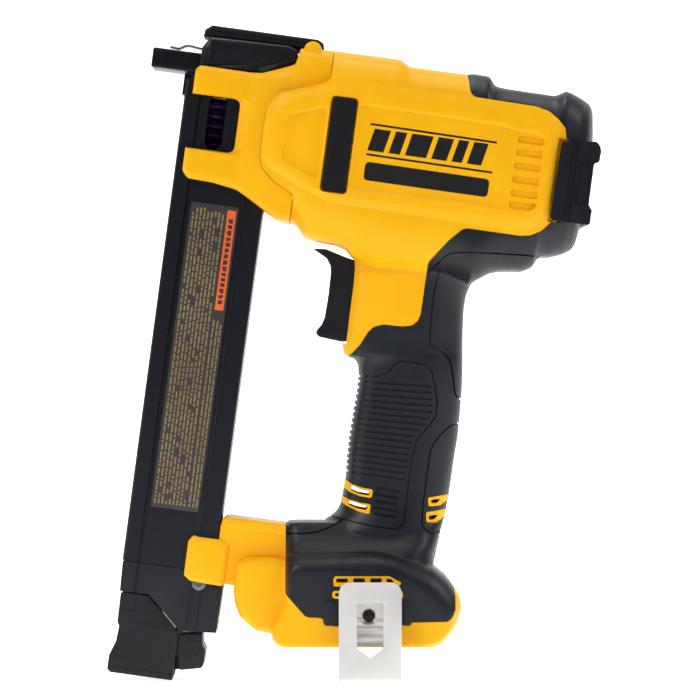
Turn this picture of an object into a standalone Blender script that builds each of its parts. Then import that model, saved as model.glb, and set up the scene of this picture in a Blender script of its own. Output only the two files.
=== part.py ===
"""Cordless nailer with an upright magazine: clamshell body, slide-out magazine, nose, drive and trigger.

Lengths below are in millimetres and become metres when a piece is made. The body, nose and magazine stand in a
frame leaning back by TILT about +Y (u along the nose axis to the rear, w up); the grip and foot are drawn upright.
"""
import math
import bpy
import bmesh
from mathutils import Matrix, Vector

MM = 0.001
TILT = 7.6
GAP = 0.3            # clearance between pieces that touch
WALL = 3.6           # clamshell wall
SKIN = 1.4           # overmould thickness
BODY_HALF = 34.0     # half width of the body
GRIP_HALF = 18.0
FOOT_HALF = 37.0
COLUMN_HALF = 16.0
FIRE_AXIS_W = 278.0  # height of the driver above the foot, in the leaning frame
WHEEL = (-18.0, 248.0)
TRIP_TRAVEL = 8.0

for old in list(bpy.data.objects):
    bpy.data.objects.remove(old, do_unlink=True)
scene = bpy.context.scene
parts = bpy.data.collections.new("brad_nailer")
scene.collection.children.link(parts)

LEAN = Matrix.Rotation(math.radians(TILT), 4, "Y")
LEVEL = Matrix.Identity(4)
CT, ST = math.cos(math.radians(TILT)), math.sin(math.radians(TILT))


def lean_point(x, z):
    return (x * CT - z * ST, x * ST + z * CT)


# ---------------------------------------------------------------- shapes, as meshes in upright millimetres
def finish(bm, frame, name="shape"):
    bmesh.ops.remove_doubles(bm, verts=bm.verts, dist=0.0001)
    bmesh.ops.recalc_face_normals(bm, faces=bm.faces)
    bm.transform(frame)
    mesh = bpy.data.meshes.new(name)
    bm.to_mesh(mesh)
    bm.free()
    return mesh


def evaluated(mesh, kind=None, **settings):
    obj = bpy.data.objects.new("work", mesh)
    scene.collection.objects.link(obj)
    if kind:
        modifier = obj.modifiers.new(kind.lower(), kind)
        for key, value in settings.items():
            setattr(modifier, key, value)
    bpy.context.view_layer.update()
    graph = bpy.context.evaluated_depsgraph_get()
    made = bpy.data.meshes.new_from_object(obj.evaluated_get(graph))
    bpy.data.objects.remove(obj, do_unlink=True)
    return made


def combine(first, second, operation):
    other = bpy.data.objects.new("other", second)
    scene.collection.objects.link(other)
    made = evaluated(first, "BOOLEAN", operation=operation, solver="EXACT", object=other)
    bpy.data.objects.remove(other, do_unlink=True)
    return made


def cut(mesh, *tools):
    for tool in tools:
        mesh = combine(mesh, tool, "DIFFERENCE")
    return mesh


def join(mesh, *others):
    for other in others:
        mesh = combine(mesh, other, "UNION")
    return mesh


def keep(mesh, tool):
    return combine(mesh, tool, "INTERSECT")


def soften(mesh, width, segments=2, angle=40):
    return evaluated(mesh, "BEVEL", width=width, segments=segments, limit_method="ANGLE",
                     angle_limit=math.radians(angle))


def box(x0, x1, y0, y1, z0, z1, frame=LEVEL):
    bm = bmesh.new()
    bmesh.ops.create_cube(bm, size=1.0)
    for v in bm.verts:
        v.co = Vector((x0 + (v.co.x + 0.5) * (x1 - x0), y0 + (v.co.y + 0.5) * (y1 - y0),
                       z0 + (v.co.z + 0.5) * (z1 - z0)))
    return finish(bm, frame)


def plate(points, y0, y1, frame=LEVEL, round_by=0.0, segments=2):
    """Outline in the x-z plane given a thickness along y."""
    curve = bpy.data.curves.new("outline", "CURVE")
    curve.dimensions = "2D"
    curve.fill_mode = "BOTH"
    curve.extrude = (y1 - y0) / 2
    spline = curve.splines.new("POLY")
    spline.points.add(len(points) - 1)
    for point, (a, b) in zip(spline.points, points):
        point.co = (a, b, 0, 1)
    spline.use_cyclic_u = True
    flat = evaluated(curve)
    bm = bmesh.new()
    bm.from_mesh(flat)
    bm.transform(Matrix.Translation((0, (y0 + y1) / 2, 0)) @ Matrix.Rotation(math.pi / 2, 4, "X"))
    bmesh.ops.remove_doubles(bm, verts=bm.verts, dist=0.0001)
    bmesh.ops.dissolve_limit(bm, angle_limit=0.001, verts=bm.verts, edges=bm.edges)
    bmesh.ops.recalc_face_normals(bm, faces=bm.faces)
    if round_by:
        rim = [e for e in bm.edges if abs(e.verts[0].co.y - e.verts[1].co.y) < 1e-4]
        bmesh.ops.bevel(bm, geom=rim, offset=round_by, offset_type="OFFSET", segments=segments, profile=0.5,
                        affect="EDGES", clamp_overlap=True)
    return finish(bm, frame)


def rod(centre, radius, length, axis="Y", sides=12, frame=LEVEL, bore=0.0):
    """Round bar of the given length centred on a point, with an optional through bore."""
    turn = {"Y": Matrix.Rotation(-math.pi / 2, 4, "X"), "X": Matrix.Rotation(math.pi / 2, 4, "Y"),
            "Z": Matrix.Identity(4)}[axis]
    place = frame @ Matrix.Translation(centre) @ turn
    bm = bmesh.new()
    bmesh.ops.create_cone(bm, cap_ends=True, segments=sides, radius1=radius, radius2=radius, depth=length)
    mesh = finish(bm, place)
    if bore:
        bm = bmesh.new()
        bmesh.ops.create_cone(bm, cap_ends=True, segments=sides, radius1=bore, radius2=bore, depth=length + 4)
        mesh = cut(mesh, finish(bm, place))
    return mesh


def turned(profile, centre, axis="Y", sides=16, frame=LEVEL):
    """Closed profile of (radius, height) turned about an axis through the centre."""
    bm = bmesh.new()
    verts = [bm.verts.new((r, 0, h)) for r, h in profile]
    for a, b in zip(verts, verts[1:]):
        bm.edges.new((a, b))
    if profile[0][0] > 0.001:
        bm.edges.new((verts[-1], verts[0]))
    raw = bpy.data.meshes.new("profile")
    bm.to_mesh(raw)
    bm.free()
    made = evaluated(raw, "SCREW", steps=sides, render_steps=sides, use_merge_vertices=True,
                     merge_threshold=0.0001, use_normal_calculate=True)
    turn = {"Y": Matrix.Rotation(-math.pi / 2, 4, "X"), "X": Matrix.Rotation(math.pi / 2, 4, "Y"),
            "Z": Matrix.Identity(4)}[axis]
    bm = bmesh.new()
    bm.from_mesh(made)
    return finish(bm, frame @ Matrix.Translation(centre) @ turn)


def tube(points, radius, frame=LEVEL, resolution=1):
    curve = bpy.data.curves.new("path", "CURVE")
    curve.dimensions = "3D"
    curve.bevel_depth = radius
    curve.bevel_resolution = resolution
    curve.use_fill_caps = True
    spline = curve.splines.new("POLY")
    spline.points.add(len(points) - 1)
    for point, co in zip(spline.points, points):
        point.co = (*co, 1)
    made = evaluated(curve)
    bm = bmesh.new()
    bm.from_mesh(made)
    return finish(bm, frame)


def coil(centre, radius, wire, length, turns, axis, frame=LEVEL, per_turn=7, resolution=1):
    steps = int(turns * per_turn)
    points = []
    for i in range(steps + 1):
        a = 2 * math.pi * turns * i / steps
        along = length * i / steps
        c, s = radius * math.cos(a), radius * math.sin(a)
        offset = {"X": (along, c, s), "Z": (c, s, along)}[axis]
        points.append(tuple(p + o for p, o in zip(centre, offset)))
    return tube(points, wire, frame, resolution)


def loft(rings, frame=LEVEL):
    bm = bmesh.new()
    rows = [[bm.verts.new(p) for p in ring] for ring in rings]
    count = len(rows[0])
    for a, b in zip(rows, rows[1:]):
        for i in range(count):
            j = (i + 1) % count
            bm.faces.new((a[i], a[j], b[j], b[i]))
    bm.faces.new(rows[0][::-1])
    bm.faces.new(rows[-1])
    return finish(bm, frame)


def between(rows, at):
    """The row at a position along a list of rows sorted by their first number."""
    for low, high in zip(rows, rows[1:]):
        if low[0] <= at <= high[0]:
            share = (at - low[0]) / (high[0] - low[0])
            return [a + (b - a) * share for a, b in zip(low, high)]
    return list(rows[0] if at < rows[0][0] else rows[-1])


# ---------------------------------------------------------------- outer skin, drawn smaller by any inset
# along u: bottom, top, half width
BODY = [(-84, 206, 292.6, 31), (-78, 206, 293, 33), (-70, 206, 293.2, 34), (-62.7, 206, 293.2, 34),
        (-59.2, 204.2, 293.2, 34), (-55, 199.2, 293.2, 34), (-50, 198, 293.2, 34), (-38.3, 197.3, 293.2, 34),
        (-33.3, 195.8, 293.2, 34), (-30.2, 192.5, 293.2, 34), (-18.5, 190, 293.2, 34), (-13.5, 190, 290.2, 34),
        (15.4, 190, 290.2, 34), (18.3, 190, 291, 34), (26.7, 188, 290.7, 34), (30, 186.5, 286.3, 34),
        (35, 190, 285.8, 34), (40, 193.7, 285.7, 34), (45, 195.2, 285.6, 34), (55.8, 196.5, 285.5, 34),
        (60, 198.8, 285.4, 34), (62.1, 203.5, 286.4, 33.8), (65.4, 205.1, 288.6, 33.4), (68.3, 205.4, 288, 32.8),
        (74.2, 207.5, 285.8, 31), (78.3, 210, 283.7, 28), (80.2, 213, 280.8, 25), (81.7, 222.5, 272.5, 21),
        (82.7, 232, 264.6, 17)]
# up z: front, rear, half width
GRIP = [(40, -22, 37, 24), (58, -20, 40.8, 22), (63.5, -16.9, 42.4, 20), (66.9, -11.9, 43.2, 19),
        (71.5, -9.6, 44, 18.5), (76.9, -8.6, 45, 18), (83.8, -7.3, 46, 17.8), (94.2, -6.7, 47.5, 17.7),
        (104.2, -5.6, 49.2, 17.7), (115.8, -3.8, 50.3, 17.8), (127.5, -1.7, 51.3, 17.9), (135.4, -0.7, 51.6, 18),
        (140.8, -1, 51.7, 18), (143.3, -2.5, 51.7, 18), (145.4, -7.9, 51.7, 18), (151.9, -9.2, 51.7, 18),
        (158.3, -8.2, 51.8, 18.3), (168.3, -6.9, 52.3, 18.7), (175, -5.9, 53.3, 19), (180.4, -5.2, 55.4, 19.2),
        (184.2, -4.9, 59.2, 19.5), (188.5, -4.6, 67, 20), (196, -4.8, 72, 21), (212, -2, 70, 22)]
# up z: front, rear, half width, front corner, rear corner
FOOT = [(0, -38.5, 36, 34, 6, 14), (1.9, -42.7, 40, 35.5, 8, 16), (6.9, -44.4, 44, 36.5, 8, 18),
        (11.5, -43, 47.7, 37, 8, 20), (17.3, -40, 50, 37, 8, 20), (21.5, -37.5, 50.5, 37, 8, 20),
        (25.4, -37.5, 50, 37, 8, 20), (29.6, -37.5, 46.5, 37, 8, 19), (33.8, -37.5, 43.5, 37, 8, 18),
        (39.2, -37.5, 37, 37, 8, 16), (43.1, -37.5, 36.7, 37, 8, 16), (46, -37.5, 37, 36.3, 8, 16),
        (49, -37.5, 38, 33.5, 8, 15), (56.5, -37.5, 40.2, 24, 8, 14), (60.4, -37.5, 41.3, 19, 7, 12),
        (62.1, -36.3, 41.8, 15, 6, 10)]


def oblong(a0, a1, half, corners, steps):
    """Rounded rectangle from a0 to a1 by plus and minus half; corners hold (along, across) radii at a0 and a1."""
    (p0, q0), (p1, q1) = corners
    ring = []
    for a, p, q, side, start in ((a1, p1, q1, 1, 0), (a0, p0, q0, 1, 90), (a0, p0, q0, -1, 180), (a1, p1, q1, -1, 270)):
        towards = -1 if a == a1 else 1
        for i in range(steps + 1):
            t = math.radians(start + 90 * i / steps)
            ring.append((a + towards * p + p * math.cos(t), side * (half - q) + q * math.sin(t)))
    return ring


def body_skin(inset=0.0, steps=3, first=-84.0):
    rings = []
    rows = [r for r in BODY if first < r[0] < BODY[-1][0] - inset]
    rows = [between(BODY, first)] + rows + [between(BODY, BODY[-1][0] - inset)]
    for u, low, high, half in rows:
        low, high, half = low + inset, high - inset, half - inset
        top = min(20 - inset, (high - low) * 0.45)
        bottom = min(22 - inset, (high - low) * 0.45)
        across = min(18 - inset, half - 1)
        ring = oblong(low, high, half, ((bottom, across), (top, across)), steps)
        rings.append([(u, y, w) for w, y in ring])
    return loft(rings, LEAN)


def grip_skin(inset=0.0, count=16):
    rings = []
    rows = GRIP if count > 12 else [GRIP[i] for i in (0, 2, 4, 7, 9, 11, 13, 16, 18, 20, 21, 23)]
    for z, front, rear, half in rows:
        front, rear, half = front + inset, rear - inset, half - inset
        ring = []
        for i in range(count):
            t = 2 * math.pi * (i + 0.5) / count
            c, s = math.cos(t), math.sin(t)
            ring.append(((front + rear) / 2 + (rear - front) / 2 * math.copysign(abs(c) ** 0.78, c),
                         half * math.copysign(abs(s) ** 0.86, s), z))
        rings.append(ring)
    return loft(rings)


def foot_skin(inset=0.0, steps=2, floor=0.0):
    rings = []
    rows = [r for r in FOOT if floor < r[0] < FOOT[-1][0] - inset]
    rows = [between(FOOT, floor)] + rows + [between(FOOT, FOOT[-1][0] - inset)]
    for z, front, rear, half, near, far in rows:
        front, rear, half = front + inset, rear - inset, half - inset
        near, far = max(near - inset, 1), max(far - inset, 1)
        near, far = min(near, half - 1), min(far, half - 1)
        ring = oblong(front, rear, half, ((near, near), (far, far)), steps)
        rings.append([(x, y, z) for x, y in ring])
    return loft(rings)


def whole_skin(inset, floor=0.0, steps=3, count=16):
    return join(body_skin(inset, steps), grip_skin(inset, count), foot_skin(inset, floor=floor))


SEAM = [(-62.7, 180), (-62.7, 206.7), (-62.3, 216.7), (-63.7, 219.6), (-72.5, 223.8), (-80, 230), (-81.7, 236.7),
        (-81.8, 247.5), (-81.5, 258.3), (-79.2, 264.6), (-75, 268.2), (-54.2, 275.7), (-51.8, 278.3), (-51.7, 285.4),
        (-51.7, 310), (-150, 310), (-150, 180)]

# the overmoulded area: rear of the body, grip and top of the foot, in the leaning frame
SOFT = [(15.4, 310), (15.4, 290), (16.7, 285), (17.7, 280.8), (20, 278.5), (50.8, 277.9), (57.5, 276.7),
        (62.5, 273.3), (66.7, 269.2), (68.2, 263.3), (65.8, 222.1), (61.7, 217.1), (56.7, 214.2), (51.7, 213.3),
        (25, 213.5), (22.5, 212.5), (16.7, 206.3), (8.3, 194.6)]
SOFT += [lean_point(*p) for p in [(33.6, 189.6), (31.7, 175.8), (30.2, 165.8), (28.8, 162.5), (25.8, 160.2),
                                  (20.8, 159.8), (11.7, 160.8), (6.7, 159.6), (3.8, 156.7), (0, 150.8),
                                  (-5, 145.4), (-30, 144), (-30, 90), (-37.1, 80), (-37.1, 28), (-36.7, 26.9),
                                  (-26.9, 15.8), (-19.2, 15.4), (-14.6, 11.5), (-10.8, 11.2), (20.4, 11.2),
                                  (24.6, 13.1), (43.1, 13.5), (45.4, 15), (47.3, 19.2), (47.2, 26.2), (46.5, 29.6),
                                  (70, 36), (130, 60), (170, 300)]]


def grown(points, by):
    """Outline moved outwards by a small distance."""
    area = sum(a[0] * b[1] - b[0] * a[1] for a, b in zip(points, points[1:] + points[:1]))
    sign = 1 if area > 0 else -1
    out = []
    for i, p in enumerate(points):
        a, b = Vector(points[i - 1]), Vector(points[(i + 1) % len(points)])
        d0, d1 = (Vector(p) - a).normalized(), (b - Vector(p)).normalized()
        n = Vector((d0.y + d1.y, -d0.x - d1.x)).normalized() * sign
        n0 = Vector((d0.y, -d0.x)) * sign
        out.append(tuple(Vector(p) + n * by / max(0.5, n.dot(n0))))
    return out


def stadium(u, w0, w1, radius, steps=5):
    points = [(u + radius * math.cos(t), w1 + radius * math.sin(t)) for t in
              (math.pi * i / steps for i in range(steps + 1))]
    points += [(u - radius * math.cos(t), w0 - radius * math.sin(t)) for t in
               (math.pi * i / steps for i in range(steps + 1))]
    return points


# ---------------------------------------------------------------- pieces
def piece(name, mesh, colour, roughness=0.5, metallic=0.0, pivot=(0, 0, 0), frame=LEVEL):
    """Makes the named part; the pivot is given in the frame's own millimetres."""
    place = frame @ Matrix.Translation(Vector(pivot))
    bm = bmesh.new()
    bm.from_mesh(mesh)
    bmesh.ops.remove_doubles(bm, verts=bm.verts, dist=0.0001)
    bm.transform(Matrix.Scale(MM, 4) @ place.inverted())
    made = bpy.data.meshes.new(name)
    bm.to_mesh(made)
    bm.free()
    for polygon in made.polygons:
        polygon.use_smooth = True
    made.set_sharp_from_angle(angle=math.radians(35))
    obj = bpy.data.objects.new(name, made)
    parts.objects.link(obj)
    location, rotation, _ = place.decompose()
    obj.location = location * MM
    obj.rotation_euler = rotation.to_euler()
    material = bpy.data.materials.new(name + "_finish")
    material.use_nodes = True
    shader = material.node_tree.nodes["Principled BSDF"]
    shader.inputs["Base Color"].default_value = (*colour, 1)
    shader.inputs["Roughness"].default_value = roughness
    shader.inputs["Metallic"].default_value = metallic
    made.materials.clear()
    made.materials.append(material)
    return obj


YELLOW, BLACK, ANODISED = (0.93, 0.47, 0.012), (0.022, 0.022, 0.028), (0.013, 0.015, 0.022)
STEEL, BRIGHT, ALUMINIUM = (0.42, 0.42, 0.43), (0.78, 0.76, 0.72), (0.6, 0.61, 0.62)
COPPER, BOARD, RUBBER = (0.6, 0.25, 0.1), (0.02, 0.15, 0.06), (0.03, 0.03, 0.03)

# screws through the right half into the left: centre, head seat, boss end, frame
SCREWS = [("housing_screw_front", (-56.5, 213.5), 24.0, 30.5, LEAN), ("housing_screw_top", (52, 264), 27.0, 31.8, LEAN),
          ("housing_screw_rear", (56, 222), 27.0, 31.8, LEAN), ("housing_screw_grip", (36.5, 112), 9.0, 14.2, LEVEL),
          ("housing_screw_foot", (-24, 46), 22.0, 33.2, LEVEL)]

# -- clamshell and overmould
bracket = plate([(-91.5, 23.4), (-88.4, 21.2), (-72.2, 20.3), (-71.3, 21.6), (-66.4, 22.2), (-60, 14), (-40, 14),
                 (-38, 22), (-38, 38), (-40.5, 55.5), (-76.1, 55.4), (-77.2, 51), (-77.2, 45.4), (-78.1, 43.6),
                 (-87.1, 43.4), (-89.3, 44.3), (-92, 41)], -20, 20, LEAN, 1.2, 1)
bulge = plate([(-65, 19.8), (-64.6, 14.9), (-61.9, 7.7), (-60.1, 5.4), (-51.6, 0.8), (-42, 0.5), (-38, 8), (-39, 26),
               (-44, 32.5), (-60, 33), (-64.5, 30)], -27, 27, LEAN, 3, 2)
outer = join(whole_skin(0.0), bracket, bulge)
core = whole_skin(SKIN + GAP)
hollow = whole_skin(WALL, floor=19.6, steps=2, count=12)
recess = cut(plate(SOFT, -60, 60, LEAN), core)
shell = cut(outer, recess, hollow)
bosses, holes = [], []
for _, (a, b), seat, end, frame in SCREWS:
    bosses.append(rod((a, 0, b), 4.6, 2 * end, sides=12, frame=frame))
    holes.append(join(rod((a, 20, b), 1.8, 60, sides=10, frame=frame), rod((a, seat + 25, b), 3.5, 50, sides=12, frame=frame)))
posts = keep(join(*bosses), core)
shell = join(shell, posts)
trigger_slot = box(-62, -16, -8.6, 8.6, 149, 193, LEAN)
hook_hole = rod((4.3, -33, 16.8), 1.8, 12, sides=10)
battery_bay = box(-33, 32.5, -29.5, 29.5, -2, 14.2)
shell = cut(shell, *holes, plate(SEAM, -60, 60, LEAN), trigger_slot, battery_bay,
            box(-130, -76.7, -16.4, 16.4, 0, 80, LEAN), rod((-84, -17, 20.4), 4.2, 3.2, frame=LEAN, sides=16), hook_hole)
for side in (-1, 1):
    shell = join(shell, box(-34, 33.5, min(side * 27.5, side * 31), max(side * 27.5, side * 31), 4, 6))
split = box(-200, 200, -GAP / 2, GAP / 2, -50, 350)
shell = cut(shell, split)
left, right = box(-200, 200, -80, 0, -50, 350), box(-200, 200, 0, 80, -50, 350)
piece("main_housing_left", keep(shell, left), YELLOW, 0.42)
piece("main_housing_right", keep(shell, right), YELLOW, 0.42)

soft = keep(whole_skin(0.0), plate(grown(SOFT, -GAP), -60, 60, LEAN))
soft = cut(soft, whole_skin(SKIN), *holes, hook_hole, trigger_slot, battery_bay, split, bracket, bulge)
piece("grip_overmold_left", keep(soft, left), BLACK, 0.75)
piece("grip_overmold_right", keep(soft, right), BLACK, 0.75)

# -- front housing, two cheeks that meet behind the magazine
FRONT = [(-119, 222.5, 276.6, 20.6), (-116, 220.3, 277.2, 21), (-103.3, 219.8, 277, 21.2), (-91.7, 217.9, 276.8, 22),
         (-86, 215, 277.2, 24), (-77, 209.8, 280.6, 27), (-70.3, 206.3, 283.5, 28.5), (-68.6, 205.8, 291.6, 29.2),
         (-63.3, 205.2, 292.2, 30), (-58, 204.5, 292.6, 30), (-50, 204, 292.8, 30)]
rings = []
for u, low, high, half in FRONT:
    rings.append([(u, y, w) for w, y in oblong(low, high, half, ((5, 4), (5, 4)), 2)])
front = loft(rings, LEAN)
front = join(front, rod((-62.5, -21, 291.2), 4.5, 10, frame=LEAN), rod((-62.5, 21, 291.2), 4.5, 10, frame=LEAN))
window = [(-135, 262.7), (-98, 262.7), (-95.6, 261.2), (-95, 258.7), (-95, 239.5), (-95.6, 237), (-98, 235.5), (-135, 235.5)]
front = keep(front, plate([(u - 0.35, w) for u, w in SEAM], -60, 60, LEAN))
front = cut(front, plate(window, -60, 60, LEAN), box(-135, -76.6, -16.4, 16.4, 190, 300, LEAN),
            box(-74, -40, -24, 24, 209.5, 271.5, LEAN), box(-80, -40, -15.8, 15.8, 271.4, 285.2, LEAN),
            box(-73, -40, -18, 18, 209.5, 288.8, LEAN), box(-200, 200, -GAP / 2, GAP / 2, -50, 350))
piece("front_housing_left", keep(front, left), YELLOW, 0.42)
piece("front_housing_right", keep(front, right), YELLOW, 0.42)

cover = plate([(-117.9, 277.7), (-117.7, 286.2), (-114.2, 292.1), (-74.6, 292.7), (-70.4, 291.3), (-69.7, 287.5),
               (-70.8, 284.3), (-85.4, 277.7)], -17.6, 17.6, LEAN, 1.2, 2)
cover = cut(cover, box(-125, -60, -15.8, 15.8, 270, 288, LEAN))
piece("nose_cover", cover, BLACK, 0.6)
bumper = plate([(-117.5, 293.4), (-117.1, 295.6), (-114.2, 297.7), (-60.8, 297.5), (-57.9, 296), (-57, 293.7)],
               -15, 15, LEAN, 1.0, 2)
piece("top_bumper", bumper, RUBBER, 0.8)
for name, side in (("side_bumper_left", -1), ("side_bumper_right", 1)):
    y0, y1 = sorted((side * 34.3, side * 37.2))
    piece(name, soften(box(-49.2, -37.3, y0, y1, 222.8, 269, LEAN), 0.8, 1), RUBBER, 0.8)

# -- magazine
column = box(-123.4, -77, -COLUMN_HALF, COLUMN_HALF, 27, 270, LEAN)
column = join(column, box(-125, -120.9, -9, 9, 262, 272.8, LEAN))
column = cut(column, box(-120.4, -92.5, -13, 13, 0, 300, LEAN), box(-87, -79.5, -12, 12, 0, 300, LEAN),
             plate(stadium(-106.1, 240.4, 260, 4.4), -40, 0, LEAN))
for side in (-1, 1):
    y0, y1 = sorted((side * 15.2, side * 20))
    column = cut(column, box(-116, -114.3, y0, y1, 0, 300, LEAN))
piece("magazine_body", column, ANODISED, 0.38, 0.6)
piece("magazine_label", box(-113, -88.3, -16.7, -16.3, 55.5, 209.2, LEAN), (0.07, 0.065, 0.07), 0.5)
block = plate([(-122.7, 11.5), (-108.1, 11.7), (-90.8, -4.2), (-78.5, -3.6), (-72.2, -3.1), (-72, 19.8), (-77, 20),
               (-77, 26.7), (-123.2, 26.7)], -15.6, 15.6, LEAN, 0.8, 1)
block = cut(block, box(-120.4, -92.5, -13, 13, -30, 40, LEAN), rod((-84, -15, 20.4), 1.8, 20, frame=LEAN, sides=10))
piece("magazine_lower_block", block, ANODISED, 0.45, 0.3)
clamp = turned([(0, 1.9), (2.8, 1.9), (3.7, 1.2), (3.7, 0), (1.5, 0), (1.5, -8), (0, -8)], (0, 0, 0), "Y", 14)
clamp.transform(LEAN @ Matrix.Translation((-84, -15.95, 20.4)) @ Matrix.Rotation(math.pi, 4, "X"))
piece("clamp_screw", clamp, STEEL, 0.35, 1.0, (-84, -15.95, 20.4), LEAN)

cap = plate([(-122.1, 10.6), (-108.6, 10.4), (-90.8, -6.9), (-90.8, -29.4), (-122.1, -29.3), (-123.8, -27.8),
             (-123.8, -21), (-121.2, -13.4), (-120.7, -5.8), (-121.8, -4)], -16.5, 16.5, LEAN, 1.0, 1)
for side in (-1, 1):
    y0, y1 = sorted((side * 10.2, side * 13.4))
    cap = join(cap, plate([(-92, -4.9), (-85, -7), (-82, -10), (-82, -14), (-86, -17), (-92, -17)], y0, y1, LEAN))
cap = cut(cap, box(-100.6, -92.3, -12.7, 12.7, -12.3, 40, LEAN), box(-97, -80, -9.9, 9.9, -27.5, -12.8, LEAN),
          rod((-85.5, 0, -11), 1.4, 40, frame=LEAN, sides=10))
piece("end_cap", cap, BLACK, 0.5, 0.0, (-100, 0, 0), LEAN)
rail = box(-94.1, -92.8, -12.2, 12.2, -12, 266, LEAN)
for side in (-1, 1):
    y0, y1 = sorted((side * 11, side * 12.2))
    rail = join(rail, box(-100.2, -93.5, y0, y1, -12, 266, LEAN))
rail = join(rail, box(-114, -93.5, -8, 8, 176, 179, LEAN))
piece("magazine_rail", rail, BRIGHT, 0.3, 1.0, (-100, 0, 0), LEAN)
pusher = join(box(-115, -100.8, -9, 9, 262, 267.5, LEAN), box(-101.6, -94.5, -10.6, 10.6, 262.4, 267.1, LEAN))
piece("pusher", pusher, STEEL, 0.4, 1.0, (-107, 0, 262), LEAN)
piece("pusher_spring", coil((-107, 0, 180.4), 6.0, 0.9, 80.4, 16.5, "Z", LEAN, 8, 1), (0.05, 0.012, 0.12), 0.35, 0.7,
      (-107, 0, 179.3), LEAN)
latch = plate([(-90.3, -6.0), (-79, -4.4), (-78.1, -10.3), (-76.5, -12.5), (-76.5, -20.1), (-77.4, -21.5),
               (-88.2, -24.0), (-88.2, -13.5), (-90.3, -12.6)], -9.6, 9.6, LEAN, 0.5, 1)
cheek = [(-89.9, -6.4), (-79.2, -4.9), (-78.3, -10.3), (-76.9, -12.7), (-76.9, -20.1), (-77.8, -21.3), (-88.2, -23.8)]
latch = join(latch, box(-81.4, -76.8, -14.2, 14.2, -20.6, -12.9, LEAN), plate(cheek, 13.75, 15, LEAN), plate(cheek, -15, -13.75, LEAN))
latch = cut(latch, rod((-85.5, 0, -11), 1.2, 30, frame=LEAN, sides=10))
piece("latch", latch, BLACK, 0.5, 0.0, (-85.5, 0, -11), LEAN)
piece("latch_pin", rod((-85.5, 0, -11), 1.1, 26.4, frame=LEAN, sides=10), STEEL, 0.35, 1.0, (-85.5, 0, -11), LEAN)
piece("latch_spring", coil((-96.3, 0, -20), 2.4, 0.4, 7.2, 4, "X", LEAN, 7, 1), STEEL, 0.35, 1.0, (-96.7, 0, -20), LEAN)

# -- nose
trip = cut(soften(box(-142, -97, -15, 15, 273.4, 283.3, LEAN), 0.8, 1), box(-150, -90, -13.5, 13.5, 275, 281.8, LEAN),
           box(-150, -141, -10, 10, 281, 286, LEAN))
trip = join(trip, box(-98, -78.5, -15, -12.6, 275, 283, LEAN), box(-98, -78.5, 12.6, 15, 275, 283, LEAN))
piece("contact_trip", trip, ANODISED, 0.4, 0.8, (-142, 0, FIRE_AXIS_W), LEAN)
guide = cut(box(-133.5, -87.2, -12.2, 12.2, 275.4, 281.4, LEAN), box(-150, -60, -8.6, 8.6, 276.8, 279.2, LEAN),
            box(-122, -93, -8.6, 8.6, 270, 277.5, LEAN))
piece("nose_guide", guide, STEEL, 0.3, 1.0)
strip = plate([(-134.4, 284.6), (-129.5, 284.4), (-125, 286.3), (-118.2, 285.8), (-104, 286), (-104, 287.1),
               (-118.2, 287.1), (-125, 287.5), (-129.5, 285.7), (-134.4, 285.9)], -4, 4, LEAN)
piece("guide_clip_spring", strip, STEEL, 0.35, 1.0)
piece("trip_spring", coil((-77.6, -13.8, 279), 1.6, 0.35, 15, 6, "X", LEAN, 6, 1), STEEL, 0.35, 1.0, (-62, -13.8, 279), LEAN)

# -- drive
blade = join(box(-88, -20, -8, 8, 277.2, 278.8, LEAN), box(-30, 14, -9.5, 9.5, 272.5, 279, LEAN))
piece("driver_blade", blade, BRIGHT, 0.25, 1.0, (-88, 0, FIRE_AXIS_W), LEAN)
stop = cut(box(-86.8, -83.4, -12, 12, 272.4, 283, LEAN), box(-95, -70, -8.6, 8.6, 276.7, 279.3, LEAN))
piece("driver_bumper", stop, RUBBER, 0.8)
wu, ww = WHEEL
frame_body = box(-44.5, 29.5, -20, 20, 208.5, 212, LEAN)
for side in (-1, 1):
    y0, y1 = sorted((side * 18, side * 22))
    frame_body = join(frame_body, plate([(-45, 208), (28, 208), (28, 279.5), (26, 281.5), (-42, 281.5), (-45, 279)], y0, y1, LEAN))
    y2, y3 = sorted((side * 10.2, side * 12.4))
    frame_body = join(frame_body, box(-76, 20, y2, y3, 272.6, 276, LEAN))
    y4, y5 = sorted((side * 12.0, side * 19))
    frame_body = join(frame_body, box(-44, -38, y4, y5, 273, 275.6, LEAN), box(12, 18, y4, y5, 273, 275.6, LEAN))
frame_body = cut(frame_body, rod((wu, 0, ww), 6.3, 60, frame=LEAN, sides=16), rod((24, 0, 276.5), 1.8, 60, frame=LEAN, sides=10),
                 box(-38, 14, -30, 30, 214, 232, LEAN))
piece("drive_frame", frame_body, ALUMINIUM, 0.45, 0.9)
rotor = turned([(24, -9), (24, 9), (4, 9), (4, 7.5), (20, 7.5), (20, -9)], (wu, 0, ww), "Y", 24, LEAN)
rotor = join(rotor, rod((wu, 12, ww), 4.6, 8, frame=LEAN, sides=12))
rotor = cut(rotor, rod((wu, 12, ww), 2.1, 14, frame=LEAN, sides=12))
piece("flywheel_rotor", rotor, STEEL, 0.35, 1.0, (wu, 0, ww), LEAN)
stator = join(rod((wu, 0, ww), 18.8, 13, frame=LEAN, sides=20), rod((wu, -11.5, ww), 8, 11.6, frame=LEAN, sides=16))
stator = cut(stator, rod((wu, 0, ww), 2.6, 60, frame=LEAN, sides=12))
piece("flywheel_stator", stator, COPPER, 0.5, 0.3)
piece("axle", rod((wu, 0, ww), 2.0, 45, frame=LEAN, sides=12), STEEL, 0.25, 1.0, (wu, 0, ww), LEAN)
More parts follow.
